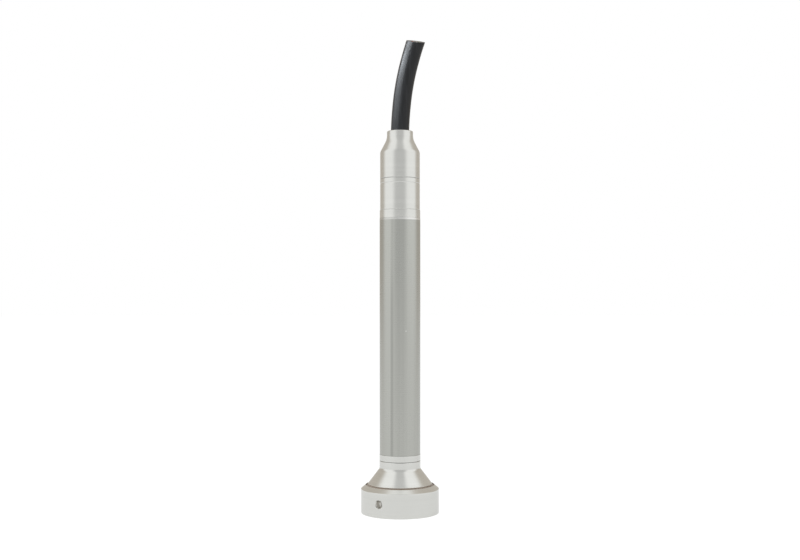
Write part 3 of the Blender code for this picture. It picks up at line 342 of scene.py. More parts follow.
@cache
def tube_steel():
    """The housing tube: ground round, with faint lengthwise streaks, handling haze and one bright nick, a
    painted reflection as one dark lengthwise streak, and a painted highlight under its top edge.
    """
    colour = tuple(finishes().tube)
    made, graph = new_material("ground tube", colour)
    x, y, z = graph.place()
    grind = graph.line_noise(z, 3600.0, 4.0)
    turn = graph.math("ARCTAN2", x, y * -1.0)
    streak = graph.line_noise(turn, 7.0, 3.0)
    drawn = graph.noise(graph.vector(turn, turn, z * 4.0), 9.0, 3.0)
    # Painted reflection: a dark lengthwise streak at one turn round the tube, weaker towards the top.
    seam = 1.0 - graph.span(abs(turn - REFLECTED_STREAK_TURN), 0.02, 0.12)
    seam = seam * graph.span(z, *REFLECTED_STREAK_FADES, 1.0, 0.55)
    haze = graph.noise(graph.vector(x, y, z), 60.0, 4.0)
    nick_x = (x - NICK_PLACE[0]) / NICK_SIZE[0]
    nick_z = (z - NICK_PLACE[1]) / NICK_SIZE[1]
    nick = (1.0 - graph.span(nick_x * nick_x + nick_z * nick_z, 0.3, 1.2)) * (y < 0.0)
    tone = 0.95 + 0.10 * (streak - 0.5) + 0.06 * (drawn - 0.5) + 0.04 * (grind - 0.5) - 0.20 * seam
    body = graph.mix(tone, (0, 0, 0), colour)
    # Painted highlight: a pale band just under the tube's top edge, brighter towards +X.
    painted_glint = graph.span(z, TUBE_TOP - 0.0011, TUBE_TOP - 0.0007)
    painted_glint = painted_glint * graph.span(x, -0.008, 0.004, 0.35, 0.9)
    body = graph.mix(painted_glint, body, (0.88, 0.88, 0.86))
    graph.surface(
        base_color=graph.mix(nick, body, (0.86, 0.86, 0.84)), metallic=1.0,
        roughness=0.28 + 0.06 * (haze - 0.5) + 0.04 * (grind - 0.5),
        anisotropic=0.20, anisotropic_rotation=0.25,
        normal=graph.bump(grind, 0.05, 0.00005),
    )
    return made


@cache
def polished_steel():
    made, graph = new_material("polished steel", POLISHED)
    haze = graph.noise(graph.vector(*graph.place()), 500.0, 3.0)
    graph.surface(base_color=POLISHED, metallic=1.0, roughness=0.10 + 0.10 * haze)
    return made


@cache
def diaphragm_foil():
    """Rolled foil, with straight rolling marks across it."""
    made, graph = new_material("diaphragm foil", (0.76, 0.755, 0.74))
    rolled = graph.line_noise(graph.place()[0], 2600.0, 3.0)
    tone = 0.92 + 0.12 * (rolled - 0.5)
    graph.surface(
        base_color=graph.mix(tone, (0, 0, 0), (0.78, 0.775, 0.755)), metallic=1.0,
        roughness=0.20 + 0.08 * rolled, normal=graph.bump(rolled, 0.06, 0.00003),
    )
    return made


@cache
def turned_brass():
    return turned_steel("turned brass", tuple(finishes().brass), 0.26, 0.9, 0.3)


@cache
def seal_rubber():
    made, graph = new_material("seal rubber", (0.02, 0.02, 0.02))
    point = graph.vector(*graph.place())
    grain = graph.noise(point, 2400.0, 3.0)
    dust = graph.noise(point, 240.0, 3.0)
    graph.surface(
        base_color=graph.mix(dust, (0.016, 0.016, 0.017), (0.035, 0.034, 0.033)),
        roughness=0.50 + 0.20 * grain, normal=graph.bump(grain, 0.15, 0.00003),
    )
    return made


def disc(graph, x, y, place, radius):
    """One inside a circle and nothing outside it."""
    across = x - place[0]
    along = y - place[1]
    return graph.math("SQRT", across * across + along * along) < radius


def cut_end(graph, skin):
    """The jacket's colour, with the filler, the three cores and the vent tube on the cable's cut end, and the
    vent tube's bore as a near black disc of painted shade.
    """
    x, y, z = graph.place()
    own = sizes()
    end, up = CABLE_ROUTE[-1]
    lean = (end - CABLE_ROUTE[-2][0]) / (up - CABLE_ROUTE[-2][1])
    side = x - end - (z - NOSE_TOP - up) * lean
    opened = disc(graph, side, y, (0, 0), own.cable_diameter / 2 - own.jacket) * (z > NOSE_TOP + up * 0.9)
    colour = graph.mix(opened, skin, (0.030, 0.030, 0.032))
    for place, insulation in zip(CORE_PLACES, CORE_COLOURS):
        colour = graph.mix(opened * disc(graph, side, y, place, CORE_RADIUS), colour, insulation)
        colour = graph.mix(opened * disc(graph, side, y, place, STRAND_RADIUS), colour, (0.55, 0.26, 0.12))
    colour = graph.mix(opened * disc(graph, side, y, VENT_PLACE, VENT_RADIUS), colour, (0.72, 0.71, 0.66))
    # Painted shade: the vent tube's open bore is a near black disc on the flat cut face.
    return graph.mix(opened * disc(graph, side, y, VENT_PLACE, VENT_BORE), colour, (0.004, 0.004, 0.004))


@cache
def cable_jacket():
    """Black polyurethane, extruded: a satin skin with faint lengthwise streaks and fine grain."""
    colour = tuple(finishes().jacket)
    made, graph = new_material("cable jacket", colour)
    x, y, z = graph.place()
    streaks = graph.noise(graph.vector(x * 5.0, y * 5.0, z * 0.4), 170.0, 3.0)
    grain = graph.noise(graph.vector(x, y, z), 2600.0, 2.0)
    scuffs = graph.noise(graph.vector(x, y, z * 0.6), 120.0, 4.0)
    pale = tuple(value * 2.1 for value in colour)
    skin = graph.mix(graph.span(streaks, 0.35, 0.75), colour, pale)
    graph.surface(
        base_color=cut_end(graph, skin),
        roughness=0.30 + 0.10 * graph.span(scuffs, 0.35, 0.7) + 0.05 * (streaks - 0.5),
        specular_ior_level=0.34,
        normal=graph.bump(0.6 * grain + 1.6 * streaks, 0.18, 0.00006),
    )
    return made


@cache
def plastic(name):
    """A moulded or fired plain material with a faint grain and a slightly uneven tone."""
    colour, roughness, grain_scale = PLASTICS[name]
    made, graph = new_material(name, colour)
    point = graph.vector(*graph.place())
    grain = graph.noise(point, grain_scale, 3.0)
    tone = graph.noise(point, 140.0, 2.0)
    deep = tuple(value * 0.88 for value in colour)
    graph.surface(
        base_color=graph.mix(tone, deep, colour), roughness=roughness + 0.10 * (grain - 0.5),
        normal=graph.bump(grain, 0.10, 0.00003),
    )
    return made


def part_metal(name, body, metal, roughness, is_metal):
    """Moulded plastic with bare metal where a test of the place says so."""
    made, graph = new_material(name, body)
    x, y, z = graph.place()
    grain = graph.noise(graph.vector(x, y, z), 3000.0, 3.0)
    mask = is_metal(graph, x, y, z)
    plastic = graph.mix(grain, tuple(value * 0.85 for value in body), body)
    graph.surface(
        base_color=graph.mix(mask, plastic, metal), metallic=mask,
        roughness=roughness + 0.10 * (grain - 0.5) - (roughness - 0.30) * mask,
        normal=graph.bump(grain, 0.10, 0.00003),
    )
    return made


@cache
def chip_moulding():
    """The leads at both sides of a chip are tinned."""
    return part_metal("chip moulding", MOULDING, TINNED, 0.58, lambda graph, x, y, z: abs(x) > CHIP_SIDE)


@cache
def transistor_moulding():
    """The mounting tab over the transistor's body is tinned."""
    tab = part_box("pass_transistor")[1][2] - TAB_REACH
    return part_metal("transistor moulding", MOULDING, TINNED, 0.58, lambda graph, x, y, z: z > tab)


@cache
def trimmer_blue():
    """The adjusting screw stands out of the trimmer's face in brass."""
    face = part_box("zero_trimmer")[1][1] - TRIMMER_SCREW
    brass = tuple(finishes().brass)
    blue = (0.03, 0.11, 0.48)
    return part_metal("trimmer housing", blue, brass, 0.36, lambda graph, x, y, z: y > face + NEAR)


@cache
def cell_steel():
    """The pressure cell: polished steel, with gold-plated pins standing out of its header."""
    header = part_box("sensor_cell")[1][2] - CELL_PINS
    made, graph = new_material("cell steel", POLISHED)
    x, y, z = graph.place()
    haze = graph.noise(graph.vector(x, y, z), 500.0, 3.0)
    gold = (z > header + NEAR) * (graph.math("SQRT", x * x + y * y) < CELL_PIN_CIRCLE)
    graph.surface(
        base_color=graph.mix(gold, POLISHED, (0.83, 0.62, 0.24)), metallic=1.0,
        roughness=0.14 + 0.10 * haze,
    )
    return made


@cache
def ferrite():
    """A ferrite bobbin, with enamelled wire wound between its flanges; the wire's colour holds painted shade
    between the turns and a painted highlight on each.
    """
    made, graph = new_material("ferrite", (0.05, 0.05, 0.055))
    x, y, z = graph.place()
    (_, near, _), (_, far, _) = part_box("choke")
    wound = abs(y - (near + far) / 2) < (far - near) / 2 - CHOKE_FLANGE
    # Painted shade and highlight: the copper goes dark between turns and pale on each turn's crown.
    wire = graph.math("SINE", y * WINDING_WAVES)
    shaded_winding = graph.mix(wire, (0.30, 0.09, 0.04), (0.62, 0.24, 0.10))
    grain = graph.noise(graph.vector(x, y, z), 3000.0, 3.0)
    graph.surface(
        base_color=graph.mix(wound, (0.05, 0.05, 0.055), shaded_winding),
        roughness=0.60 + 0.10 * (grain - 0.5) - 0.30 * wound,
        normal=graph.bump(grain * 0.2 + wound * wire, 0.30, 0.00006),
    )
    return made


@cache
def earth_insulation():
    """Green insulation with the lengthwise yellow stripes of an earth core."""
    made, graph = new_material("earth insulation", (0.03, 0.30, 0.08))
    stripe = graph.math("SINE", graph.place()[0] * 4200.0) > 0.35
    graph.surface(base_color=graph.mix(stripe, (0.02, 0.26, 0.06), (0.75, 0.62, 0.04)), roughness=0.38)
    return made


@cache
def circuit_board():
    """Solder mask over copper: the tracks show as paler lines under it."""
    made, graph = new_material("circuit board", (0.01, 0.12, 0.05))
    x, y, z = graph.place()
    wander = graph.noise(graph.vector(x, y, z * 0.35), 260.0, 2.0)
    tracks = graph.math("SINE", (x + 0.0016 * (wander - 0.5)) * 5200.0) > 0.25
    grid = graph.noise(graph.vector(x, y, z), 900.0, 1.0)
    mask = graph.mix(tracks * 0.55, (0.006, 0.085, 0.035), (0.03, 0.24, 0.10))
    raised = y < -BOARD_FACE - NEAR
    ends = raised * (abs(abs(x) - PASSIVE_COLUMN) > PASSIVE_BODY)
    fitted = graph.mix(raised, mask, (0.22, 0.13, 0.07))
    graph.surface(
        base_color=graph.mix(ends, fitted, TINNED), metallic=ends,
        roughness=0.26 + 0.10 * grid, coat_weight=0.3,
        normal=graph.bump(tracks * (1.0 - raised), 0.20, 0.00003),
    )
    return made


@cache
def capacitor_can():
    return turned_steel("capacitor can", (0.72, 0.72, 0.73), 0.28, 0.5, 0.2)


@cache
def arrestor_finish():
    """A glazed ceramic barrel between nickel end caps."""
    made, graph = new_material("arrestor", (0.80, 0.78, 0.76))
    middle = sum(corner[2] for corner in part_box("surge_arrestor_1")) / 2
    cap = graph.span(abs(graph.place()[2] - middle), 0.0017, 0.0019)
    graph.surface(
        base_color=graph.mix(cap, (0.82, 0.79, 0.75), (0.66, 0.65, 0.62)), metallic=cap,
        roughness=0.30 - 0.08 * cap,
    )
    return made


def finish_piece(obj, material, nodes, sharp=SHARP_ANGLE):
    """Shades a finished piece, gives it its material and puts it on the probe in place of its CAD nodes."""
    obj.data.materials.clear()
    obj.data.materials.append(material)
    obj.data.shade_smooth()
    obj.data.set_sharp_from_angle(angle=sharp)
    weighing = obj.modifiers.new("weighted normals", "WEIGHTED_NORMAL")
    weighing.keep_sharp = True
    settle(obj)
    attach(obj, "root")
    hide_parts(*nodes)


def settle(obj):
    """Applies an object's modifiers to its mesh."""
    bpy.context.view_layer.update()
    mesh = bpy.data.meshes.new_from_object(obj.evaluated_get(bpy.context.evaluated_depsgraph_get()))
    obj.modifiers.clear()
    obj.data = mesh


def merged_copy(node):
    """A CAD piece as a bmesh, with its loose triangles joined."""
    shape = bmesh.new()
    shape.from_mesh(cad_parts[node].data)
    bmesh.ops.remove_doubles(shape, verts=shape.verts, dist=WELD)
    return shape


def everything(shape):
    return shape.verts[:] + shape.edges[:] + shape.faces[:]


def half_section(node):
    """The outline of a turned CAD piece on its -X side, as loose edges."""
    shape = merged_copy(node)
    bmesh.ops.bisect_plane(
        shape, geom=everything(shape), dist=WELD, plane_co=(0, 0, 0), plane_no=(0, 1, 0),
        clear_inner=True, clear_outer=True,
    )
    bmesh.ops.delete(shape, geom=[v for v in shape.verts if v.co.x > WELD], context="VERTS")
    bmesh.ops.remove_doubles(shape, verts=shape.verts, dist=10 * WELD)
    bmesh.ops.dissolve_limit(shape, angle_limit=FLAT_ANGLE, verts=shape.verts[:], edges=shape.edges[:])
    return shape


def sharpen_breaks(shape):
    """Takes the outline's small edge breaks back to sharp corners, so that finer ones can be cut."""
    for edge in shape.edges:
        first, second = edge.verts
        across = abs(first.co.x - second.co.x)
        if WELD < across < LARGEST_BREAK and abs(across - abs(first.co.z - second.co.z)) < NEAR:
            reach = min(first.co.x, second.co.x)
            first.co.x = second.co.x = reach
    bmesh.ops.remove_doubles(shape, verts=shape.verts, dist=WELD)


def close_joints(shape):
    """Moves the end faces of the screwed sections together, from the CAD clearance to a hairline."""
    own = sizes()
    joints = {
        NECK_TOP: own.open_seam,
        TUBE_FOOT - SEAT_GAP: own.tight_seam,
        TUBE_TOP: own.tight_seam,
        GLAND_FOOT - SEAT_GAP: own.tight_seam,
        NOSE_FOOT - SEAT_GAP: own.open_seam / 2,
    }
    for level, seam in joints.items():
        shift = (SEAT_GAP - seam) / 2
        for vertex in shape.verts:
            if abs(vertex.co.z - level) < NEAR:
                vertex.co.z += shift
            elif abs(vertex.co.z - level - SEAT_GAP) < NEAR:
                vertex.co.z -= shift


def spin_round(shape, segments):
    """Turns loose edges beside the axis into a closed surface of revolution."""
    bmesh.ops.spin(
        shape, geom=shape.verts[:] + shape.edges[:], cent=(0, 0, 0), axis=(0, 0, 1), dvec=(0, 0, 0),
        angle=math.tau, steps=segments, use_merge=True,
    )
    bmesh.ops.remove_doubles(shape, verts=shape.verts, dist=WELD)
    bmesh.ops.recalc_face_normals(shape, faces=shape.faces)


def bevel_edges(shape, width):
    """Rounds every edge that turns more than a little."""
    sharp = [e for e in shape.edges if len(e.link_faces) == 2 and e.calc_face_angle() > BEVEL_ANGLE]
    bmesh.ops.bevel(
        shape, geom=sharp, offset=width, offset_type="OFFSET", segments=2, profile=0.5,
        affect="EDGES", clamp_overlap=True, material=-1,
    )


def as_object(shape, name):
    """Puts a finished bmesh into the scene."""
    mesh = bpy.data.meshes.new(name)
    shape.to_mesh(mesh)
    shape.free()
    made = bpy.data.objects.new(name, mesh)
    bpy.context.scene.collection.objects.link(made)
    return made


def turned(node, edge=None, fineness=1):
    """A fine copy of a turned CAD piece, before its finish."""
    shape = half_section(node)
    sharpen_breaks(shape)
    close_joints(shape)
    spin_round(shape, sizes().segments * fineness)
    bevel_edges(shape, edge or sizes().edge)
    return as_object(shape, node + "_fine")


def refined(node, width):
    """A copy of a CAD piece with its edges rounded, before its finish."""
    shape = merged_copy(node)
    bmesh.ops.dissolve_limit(shape, angle_limit=FLAT_ANGLE, verts=shape.verts[:], edges=shape.edges[:])
    bevel_edges(shape, width)
    bmesh.ops.recalc_face_normals(shape, faces=shape.faces)
    return as_object(shape, node + "_fine")


def seal_ring(node):
    """A smooth ring of round section in the place of a CAD seal."""
    (_, _, low), (outer, _, high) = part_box(node)
    radius = (high - low) / 2
    shape = bmesh.new()
    bmesh.ops.create_circle(shape, cap_ends=False, segments=SEAL_SIDES, radius=radius)
    stand = Matrix.Translation((radius - outer, 0, (low + high) / 2)) @ Matrix.Rotation(math.pi / 2, 4, "X")
    bmesh.ops.transform(shape, matrix=stand, verts=shape.verts)
    spin_round(shape, sizes().segments)
    return as_object(shape, node + "_fine")


def eased(share):
    """A share of the way, held between nothing and one, that starts and ends gently."""
    held = min(max(share, 0.0), 1.0)
    return held * held * (3 - 2 * held)


def cut_with(obj, cutters):
    for cutter in cutters:
        modifier = obj.modifiers.new("cut", "BOOLEAN")
        modifier.operation = "DIFFERENCE"
        modifier.solver = "EXACT"
        modifier.object = cutter
    settle(obj)
    for cutter in cutters:
        bpy.data.objects.remove(cutter)


def add_loops(obj, heights):
    """Runs edges round a piece at some heights, so that a hole between them leaves the wall beyond alone."""
    shape = bmesh.new()
    shape.from_mesh(obj.data)
    for height in heights:
        bmesh.ops.bisect_plane(
            shape, geom=everything(shape), dist=WELD, plane_co=(0, 0, height), plane_no=(0, 0, 1)
        )
    shape.to_mesh(obj.data)
    shape.free()


def drill(radius, start, end, turn, height, point=0.0):
    """A drill's shape, lying along a direction at a height, from one distance off the axis to another."""
    shape = bmesh.new()
    bmesh.ops.create_cone(
        shape, cap_ends=True, segments=ROUND_SIDES, radius1=radius, radius2=radius, depth=end - start
    )
    bmesh.ops.translate(shape, verts=shape.verts, vec=(0, 0, (start + end) / 2))
    if point:
        tip = min(shape.faces, key=lambda face: face.calc_center_median().z)
        raised = bmesh.ops.poke(shape, faces=[tip])
        raised["verts"][0].co.z -= point
    aim = Matrix.Rotation(turn, 4, "Z") @ Matrix.Rotation(math.pi / 2, 4, "Y")
    bmesh.ops.transform(shape, matrix=Matrix.Translation((0, 0, height)) @ aim, verts=shape.verts)
    bmesh.ops.recalc_face_normals(shape, faces=shape.faces)
    return as_object(shape, "drill")


def smooth_route(points, step):
    """Points read at an even step from a smooth curve through the given ones."""
    ends = [points[0] * 2 - points[1], *points, points[-1] * 2 - points[-2]]
    fine = []
    for a, b, c, d in zip(ends, ends[1:], ends[2:], ends[3:]):
        for t in (i / CURVE_STEPS for i in range(CURVE_STEPS)):
            fine.append(
                0.5 * (2 * b + (c - a) * t + (2 * a - 5 * b + 4 * c - d) * t**2
                       + (3 * b - a - 3 * c + d) * t**3)
            )
    fine.append(points[-1])
    length = sum((q - p).length for p, q in zip(fine, fine[1:]))
    count = max(2, round(length / step))
    route, gone, wanted = [fine[0]], 0.0, length / count
    for p, q in zip(fine, fine[1:]):
        span = (q - p).length
        while len(route) < count and gone + span >= wanted:
            route.append(p.lerp(q, (wanted - gone) / span))
            wanted += length / count
        gone += span
    return [*route, fine[-1]]


def swept(route, radius, sides):
    """A closed round bar along a route, as a bmesh. Its first and last faces are flat caps."""
    shape = bmesh.new()
    loops = []
    for i, place in enumerate(route):
        ahead = route[min(i + 1, len(route) - 1)] - route[max(i - 1, 0)]
        turn = ahead.to_track_quat("Z", "X").to_matrix().to_4x4()
        ring = bmesh.ops.create_circle(shape, cap_ends=False, segments=sides, radius=radius)
        bmesh.ops.transform(shape, matrix=Matrix.Translation(place) @ turn, verts=ring["verts"])
        loops.append(list({edge for v in ring["verts"] for edge in v.link_edges}))
    for first, second in zip(loops, loops[1:]):
        bmesh.ops.bridge_loops(shape, edges=first + second)
    bmesh.ops.holes_fill(shape, edges=[e for e in shape.edges if e.is_boundary], sides=0)
    bmesh.ops.recalc_face_normals(shape, faces=shape.faces)
    return shape


FINE_MARKS = 5200.0
BROAD_MARKS = 420.0
# Painted shade: the dull brown of the guard ring's and the bell's hollows and crevices.
PAINTED_SHADE_COLOUR = (0.62, 0.54, 0.46)
POLISHED = (0.80, 0.80, 0.79)
TINNED = (0.64, 0.64, 0.62)
MOULDING = (0.028, 0.028, 0.030)
# Painted reflection: where the tube's dark streak runs round it, and the heights over which it fades.
REFLECTED_STREAK_TURN = -0.41
REFLECTED_STREAK_FADES = (0.105, 0.135)
NICK_PLACE = (0.0031, 0.0952)
NICK_SIZE = (0.00035, 0.00030)
HOLE_POINT = 0.12
FILL_DRILLING = 0.0012
SEAL_SIDES = 20
ROUND_SIDES = 48
CURVE_STEPS = 12
ROUTE_STEP = 0.0030
CABLE_SHARP_ANGLE = math.radians(40)
FOIL_STEPS = 132
WELD_FILLET = 0.00025
CHIP_SIDE = 0.00197
TAB_REACH = 0.0016
TRIMMER_SCREW = 0.0005
CELL_PINS = 0.0040
CELL_PIN_CIRCLE = 0.0046
CHOKE_FLANGE = 0.0009
WINDING_WAVES = 21000.0
BOARD_FACE = 0.0008
PASSIVE_COLUMN = 0.0052
PASSIVE_BODY = 0.00062
CORE_RADIUS = 0.00065
STRAND_RADIUS = 0.00035
CORE_PLACES = ((-0.0017, 0.0), (0.0, 0.0017), (0.0017, 0.0))
CORE_COLOURS = ((0.40, 0.02, 0.02), (0.012, 0.012, 0.012), (0.16, 0.34, 0.05))
VENT_PLACE = (0.0, -0.0014)
VENT_RADIUS = 0.0011
VENT_BORE = 0.0007
KEY_PLACE = (-0.80, -0.45, 0.80)
FILL_PLACE = (0.70, -0.60, 0.60)
STRIP_PLACE = (-0.54, -0.22, NOSE_TOP + 0.36)
SOFTBOX_SIDE = 0.60
STRIP_LENGTH = 0.95
STRIP_WIDTH = 0.14
STRIP_TINT = (0.88, 0.94, 1.0)
STRIP_LIT = "strip lamp lights"
PROBE_MIDDLE = (0, 0, 0.12)
SENSOR_WIDTH = 36
PAPER_HALF = 6
PAPER_GREY = (0.35, 0.35, 0.35, 1)
PAPER_GLOW = 0.86
PAPER_MIRRORED = 0.60
AMBIENT = (0.46, 0.46, 0.46)
CEILING = (0.88, 0.88, 0.87)
FRONT_WALL = (0.60, 0.60, 0.60)
SOFTBOX = (1.0, 1.0, 1.0)
ROOM_BEHIND = (0.56, 0.52, 0.47)
SOFTBOX_STARTS = (20, 50)
SOFTBOX_ENDS = (90, 115)
CEILING_STARTS = (66, 80)
CABLE_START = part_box("cable")[0][2]
CABLE_ROUTE = [
    *((0.0, CABLE_START - NOSE_TOP + i * (NOSE_TOP - CABLE_START) / 3) for i in range(3)),
    (0.0, 0.0), (0.0006, 0.0105), (0.0018, 0.0210), (0.0038, 0.0315), (0.0066, 0.0420), (0.0083, 0.0472),
]

# Colour, roughness and scale of the grain.
PLASTICS = {
    "slip ring plastic": ((0.80, 0.79, 0.76), 0.42, 1800.0),
    "carrier plastic": ((0.045, 0.045, 0.05), 0.48, 1800.0),
    "white plastic": ((0.78, 0.77, 0.74), 0.42, 1800.0),
    "red insulation": ((0.55, 0.03, 0.03), 0.38, 1800.0),
    "black insulation": ((0.02, 0.02, 0.02), 0.38, 1800.0),
    "terminal green": ((0.03, 0.26, 0.07), 0.42, 1800.0),
    "vent tube nylon": ((0.74, 0.73, 0.68), 0.30, 1800.0),
    "alumina ceramic": ((0.86, 0.85, 0.81), 0.52, 2600.0),
}

PACKING_LOOKS = {
    "slip_ring": partial(plastic, "slip ring plastic"),
    "strain_crimp": polished_steel,
    "grommet_washer": turned_brass,
    "seal_grommet": seal_rubber,
}

SEALS = ("face_seal", "cell_seal", "neck_seal", "lower_tube_seal", "upper_tube_seal", "adaptor_seal")

# The finish of each piece, and the width of its rounded edges.
EDGED_PIECES = {
    "clamp_ring": (turned_brass, 0.00015),
    "fill_screw": (polished_steel, 0.00008),
    "sensor_cell": (cell_steel, 0.00010),
    "ceramic_board": (partial(plastic, "alumina ceramic"), 0.00008),
    "lower_carrier": (partial(plastic, "carrier plastic"), 0.00020),
    "upper_carrier": (partial(plastic, "carrier plastic"), 0.00020),
    "circuit_board": (circuit_board, 0.00005),
    "sensor_connector": (partial(plastic, "white plastic"), 0.00015),
    "terminal_block": (partial(plastic, "terminal green"), 0.00015),
    "amplifier": (chip_moulding, 0.00010),
    "loop_driver": (chip_moulding, 0.00010),
    "pass_transistor": (transistor_moulding, 0.00010),
    "zero_trimmer": (trimmer_blue, 0.00012),
    "span_trimmer": (trimmer_blue, 0.00012),
}

PACKED_LOOKS = {
    "fill_ball": polished_steel,
    "sensor_lead_1": partial(plastic, "red insulation"),
    "sensor_lead_2": partial(plastic, "black insulation"),
    "sensor_lead_3": partial(plastic, "terminal green"),
    "sensor_lead_4": partial(plastic, "white plastic"),
    "core_supply": partial(plastic, "red insulation"),
    "core_return": partial(plastic, "black insulation"),
    "core_earth": earth_insulation,
    "vent_tube": partial(plastic, "vent tube nylon"),
    "capacitor": capacitor_can,
    "surge_arrestor_1": arrestor_finish,
    "surge_arrestor_2": arrestor_finish,
    "choke": ferrite,
}


class PROBE_OT_add_studio(bpy.types.Operator):
    """Adds the camera, the lamps, the floor and the world."""

    bl_idname = "probe.add_studio"
    bl_label = "Add Studio"

    def execute(self, context):
        studio = context.scene.probe_studio
        context.scene.view_settings.view_transform = "Standard"
        self.add_camera(context, studio)
        self.add_world(context)
        self.add_floor()
        self.add_lamp("key lamp", KEY_PLACE, SOFTBOX_SIDE, SOFTBOX_SIDE, studio.key)
        self.add_lamp("fill lamp", FILL_PLACE, SOFTBOX_SIDE, SOFTBOX_SIDE, studio.fill)
        strip = self.add_lamp("strip lamp", STRIP_PLACE, STRIP_LENGTH, STRIP_WIDTH, studio.strip)
        strip.visible_glossy = True
        strip.data.color = STRIP_TINT
        strip.light_linking.receiver_collection = bpy.data.collections.new(STRIP_LIT)
        return {"FINISHED"}

    def add_camera(self, context, studio):
        lens = bpy.data.cameras.new("camera")
        lens.lens = studio.lens
        lens.sensor_width = SENSOR_WIDTH
        lens.shift_y = studio.shift
        lens.clip_start = 0.01
        camera = bpy.data.objects.new("camera", lens)
        camera.location = (0, -studio.distance, studio.height)
        camera.rotation_euler = (math.pi / 2, 0, 0)
        context.scene.collection.objects.link(camera)
        context.scene.camera = camera

    def add_lamp(self, name, place, width, height, power):
        """A softbox that lights the probe and casts its shadow. What the steel mirrors is in the world."""
        light = bpy.data.lights.new(name, "AREA")
        light.shape = "RECTANGLE"
        light.size = width
        light.size_y = height
        light.energy = power
        lamp = bpy.data.objects.new(name, light)
        lamp.location = place
        aim = Vector(PROBE_MIDDLE) - Vector(place)
        lamp.rotation_euler = aim.to_track_quat("-Z", "Y").to_euler()
        lamp.visible_glossy = False
        bpy.context.scene.collection.objects.link(lamp)
        return lamp

    def add_floor(self):
        """White paper with the probe's shadow on it, which the steel mirrors too."""
        made, graph = new_material("studio white", (1, 1, 1))
        ray = graph.node("ShaderNodeLightPath")
        paper = graph.node("ShaderNodeBsdfDiffuse", None, {"Color": PAPER_GREY})
        mirrored = self.mirrored(graph, ray)
        strength = ray.out("Is Camera Ray") * PAPER_GLOW + mirrored * PAPER_MIRRORED
        glow = graph.node("ShaderNodeEmission", None, {"Color": (1, 1, 1, 1), "Strength": strength})
        both = graph.node("ShaderNodeAddShader", None, {0: paper, 1: glow})
        graph.node("ShaderNodeOutputMaterial", None, {"Surface": both})
        shape = bmesh.new()
        bmesh.ops.create_grid(shape, x_segments=1, y_segments=1, size=PAPER_HALF)
        floor = as_object(shape, "floor")
        floor.data.materials.append(made)

    def add_world(self, context):
        """White to the camera. The probe mirrors a white softbox on each side and a grey wall between."""
        world = bpy.data.worlds.new("studio")
        world.use_nodes = True
        world.cycles.sampling_method = "NONE"
        context.scene.world = world
        graph = Graph(world.node_tree)
        ray = graph.node("ShaderNodeLightPath")
        look = graph.node("ShaderNodeTexCoord").out("Generated")
        x = graph.node("ShaderNodeSeparateXYZ", None, {"Vector": look})
        turn = abs(graph.math("ARCTAN2", x, x.out("Y") * -1.0)) * (180 / math.pi)
        rise = graph.math("ARCSINE", x.out("Z")) * (180 / math.pi)
        seen = graph.mix(graph.span(turn, *SOFTBOX_STARTS), FRONT_WALL, SOFTBOX)
        seen = graph.mix(graph.span(turn, *SOFTBOX_ENDS), seen, ROOM_BEHIND)
        seen = graph.mix(graph.span(rise, *CEILING_STARTS), seen, CEILING)
        mirrored = self.mirrored(graph, ray)
        seen = graph.mix(mirrored, AMBIENT, seen)
        seen = graph.mix(ray.out("Is Camera Ray"), seen, (1, 1, 1))
        sky = graph.node("ShaderNodeBackground", None, {"Color": seen, "Strength": 1.0})
        graph.node("ShaderNodeOutputWorld", None, {"Surface": sky})

    def mirrored(self, graph, ray):
        """One for rays that come off gloss or through glass."""
        return graph.math("MAXIMUM", ray.out("Is Glossy Ray"), ray.out("Is Transmission Ray"))


class PROBE_OT_add_cable(bpy.types.Operator):
    """Adds the cable with its cut end."""

    bl_idname = "probe.add_cable"
    bl_label = "Add Cable"

    def execute(self, context):
        own = sizes()
        route = smooth_route([Vector((side, 0, NOSE_TOP + up)) for side, up in CABLE_ROUTE], ROUTE_STEP)
        end = route[-1]
        spare = end + (end - route[-2]).normalized() * own.cable_diameter / 3
        shape = swept([*route, spare], own.cable_diameter / 2, ROUND_SIDES)
        normal = Vector((math.sin(own.cut_tilt), -math.sin(own.cut_lean), math.cos(own.cut_lean)))
        cut = bmesh.ops.bisect_plane(
            shape, geom=everything(shape), dist=WELD, plane_co=end - Vector((0, 0, own.edge / 2)),
            plane_no=normal.normalized(), clear_outer=True,
        )
        edges = [e for e in cut["geom_cut"] if isinstance(e, bmesh.types.BMEdge)]
        bmesh.ops.holes_fill(shape, edges=edges, sides=0)
        bmesh.ops.recalc_face_normals(shape, faces=shape.faces)
        bevel_edges(shape, own.edge * 2)
        ends = [face for face in shape.faces if len(face.verts) > 4]
        top = max(ends, key=lambda face: face.calc_center_median().z)
        bmesh.ops.inset_region(shape, faces=[top], thickness=own.jacket, use_even_offset=True)
        bmesh.ops.inset_region(
            shape, faces=[top], thickness=own.edge, depth=-own.recess, use_even_offset=True
        )
        cable = as_object(shape, "cable_jacket")
        bpy.data.collections[STRIP_LIT].objects.link(cable)
        finish_piece(cable, cable_jacket(), ["cable"], CABLE_SHARP_ANGLE)
        length = sum((q - p).length for p, q in zip(route, route[1:]))
        return {"FINISHED"}


class PROBE_OT_add_guard_ring(bpy.types.Operator):
    """Adds the guard ring with its spanner holes."""

    bl_idname = "probe.add_guard_ring"
    bl_label = "Add Guard Ring"

    def execute(self, context):
        own = sizes()
        ring = turned("guard_ring", own.edge, 2)
        reach = own.hole_diameter / 2 + own.edge
        add_loops(ring, (own.hole_height - reach, own.hole_height + reach))
        floor = RING_RADIUS - own.hole_depth
        radius = own.hole_diameter / 2
        point = own.hole_diameter * HOLE_POINT
        turns = (own.hole_turn, own.hole_turn + math.pi)
        beyond = RING_RADIUS * 1.2
        cut_with(ring, [drill(radius, floor, beyond, turn, own.hole_height, point) for turn in turns])
        finish_piece(ring, ring_steel(), ["guard_ring"])
        return {"FINISHED"}


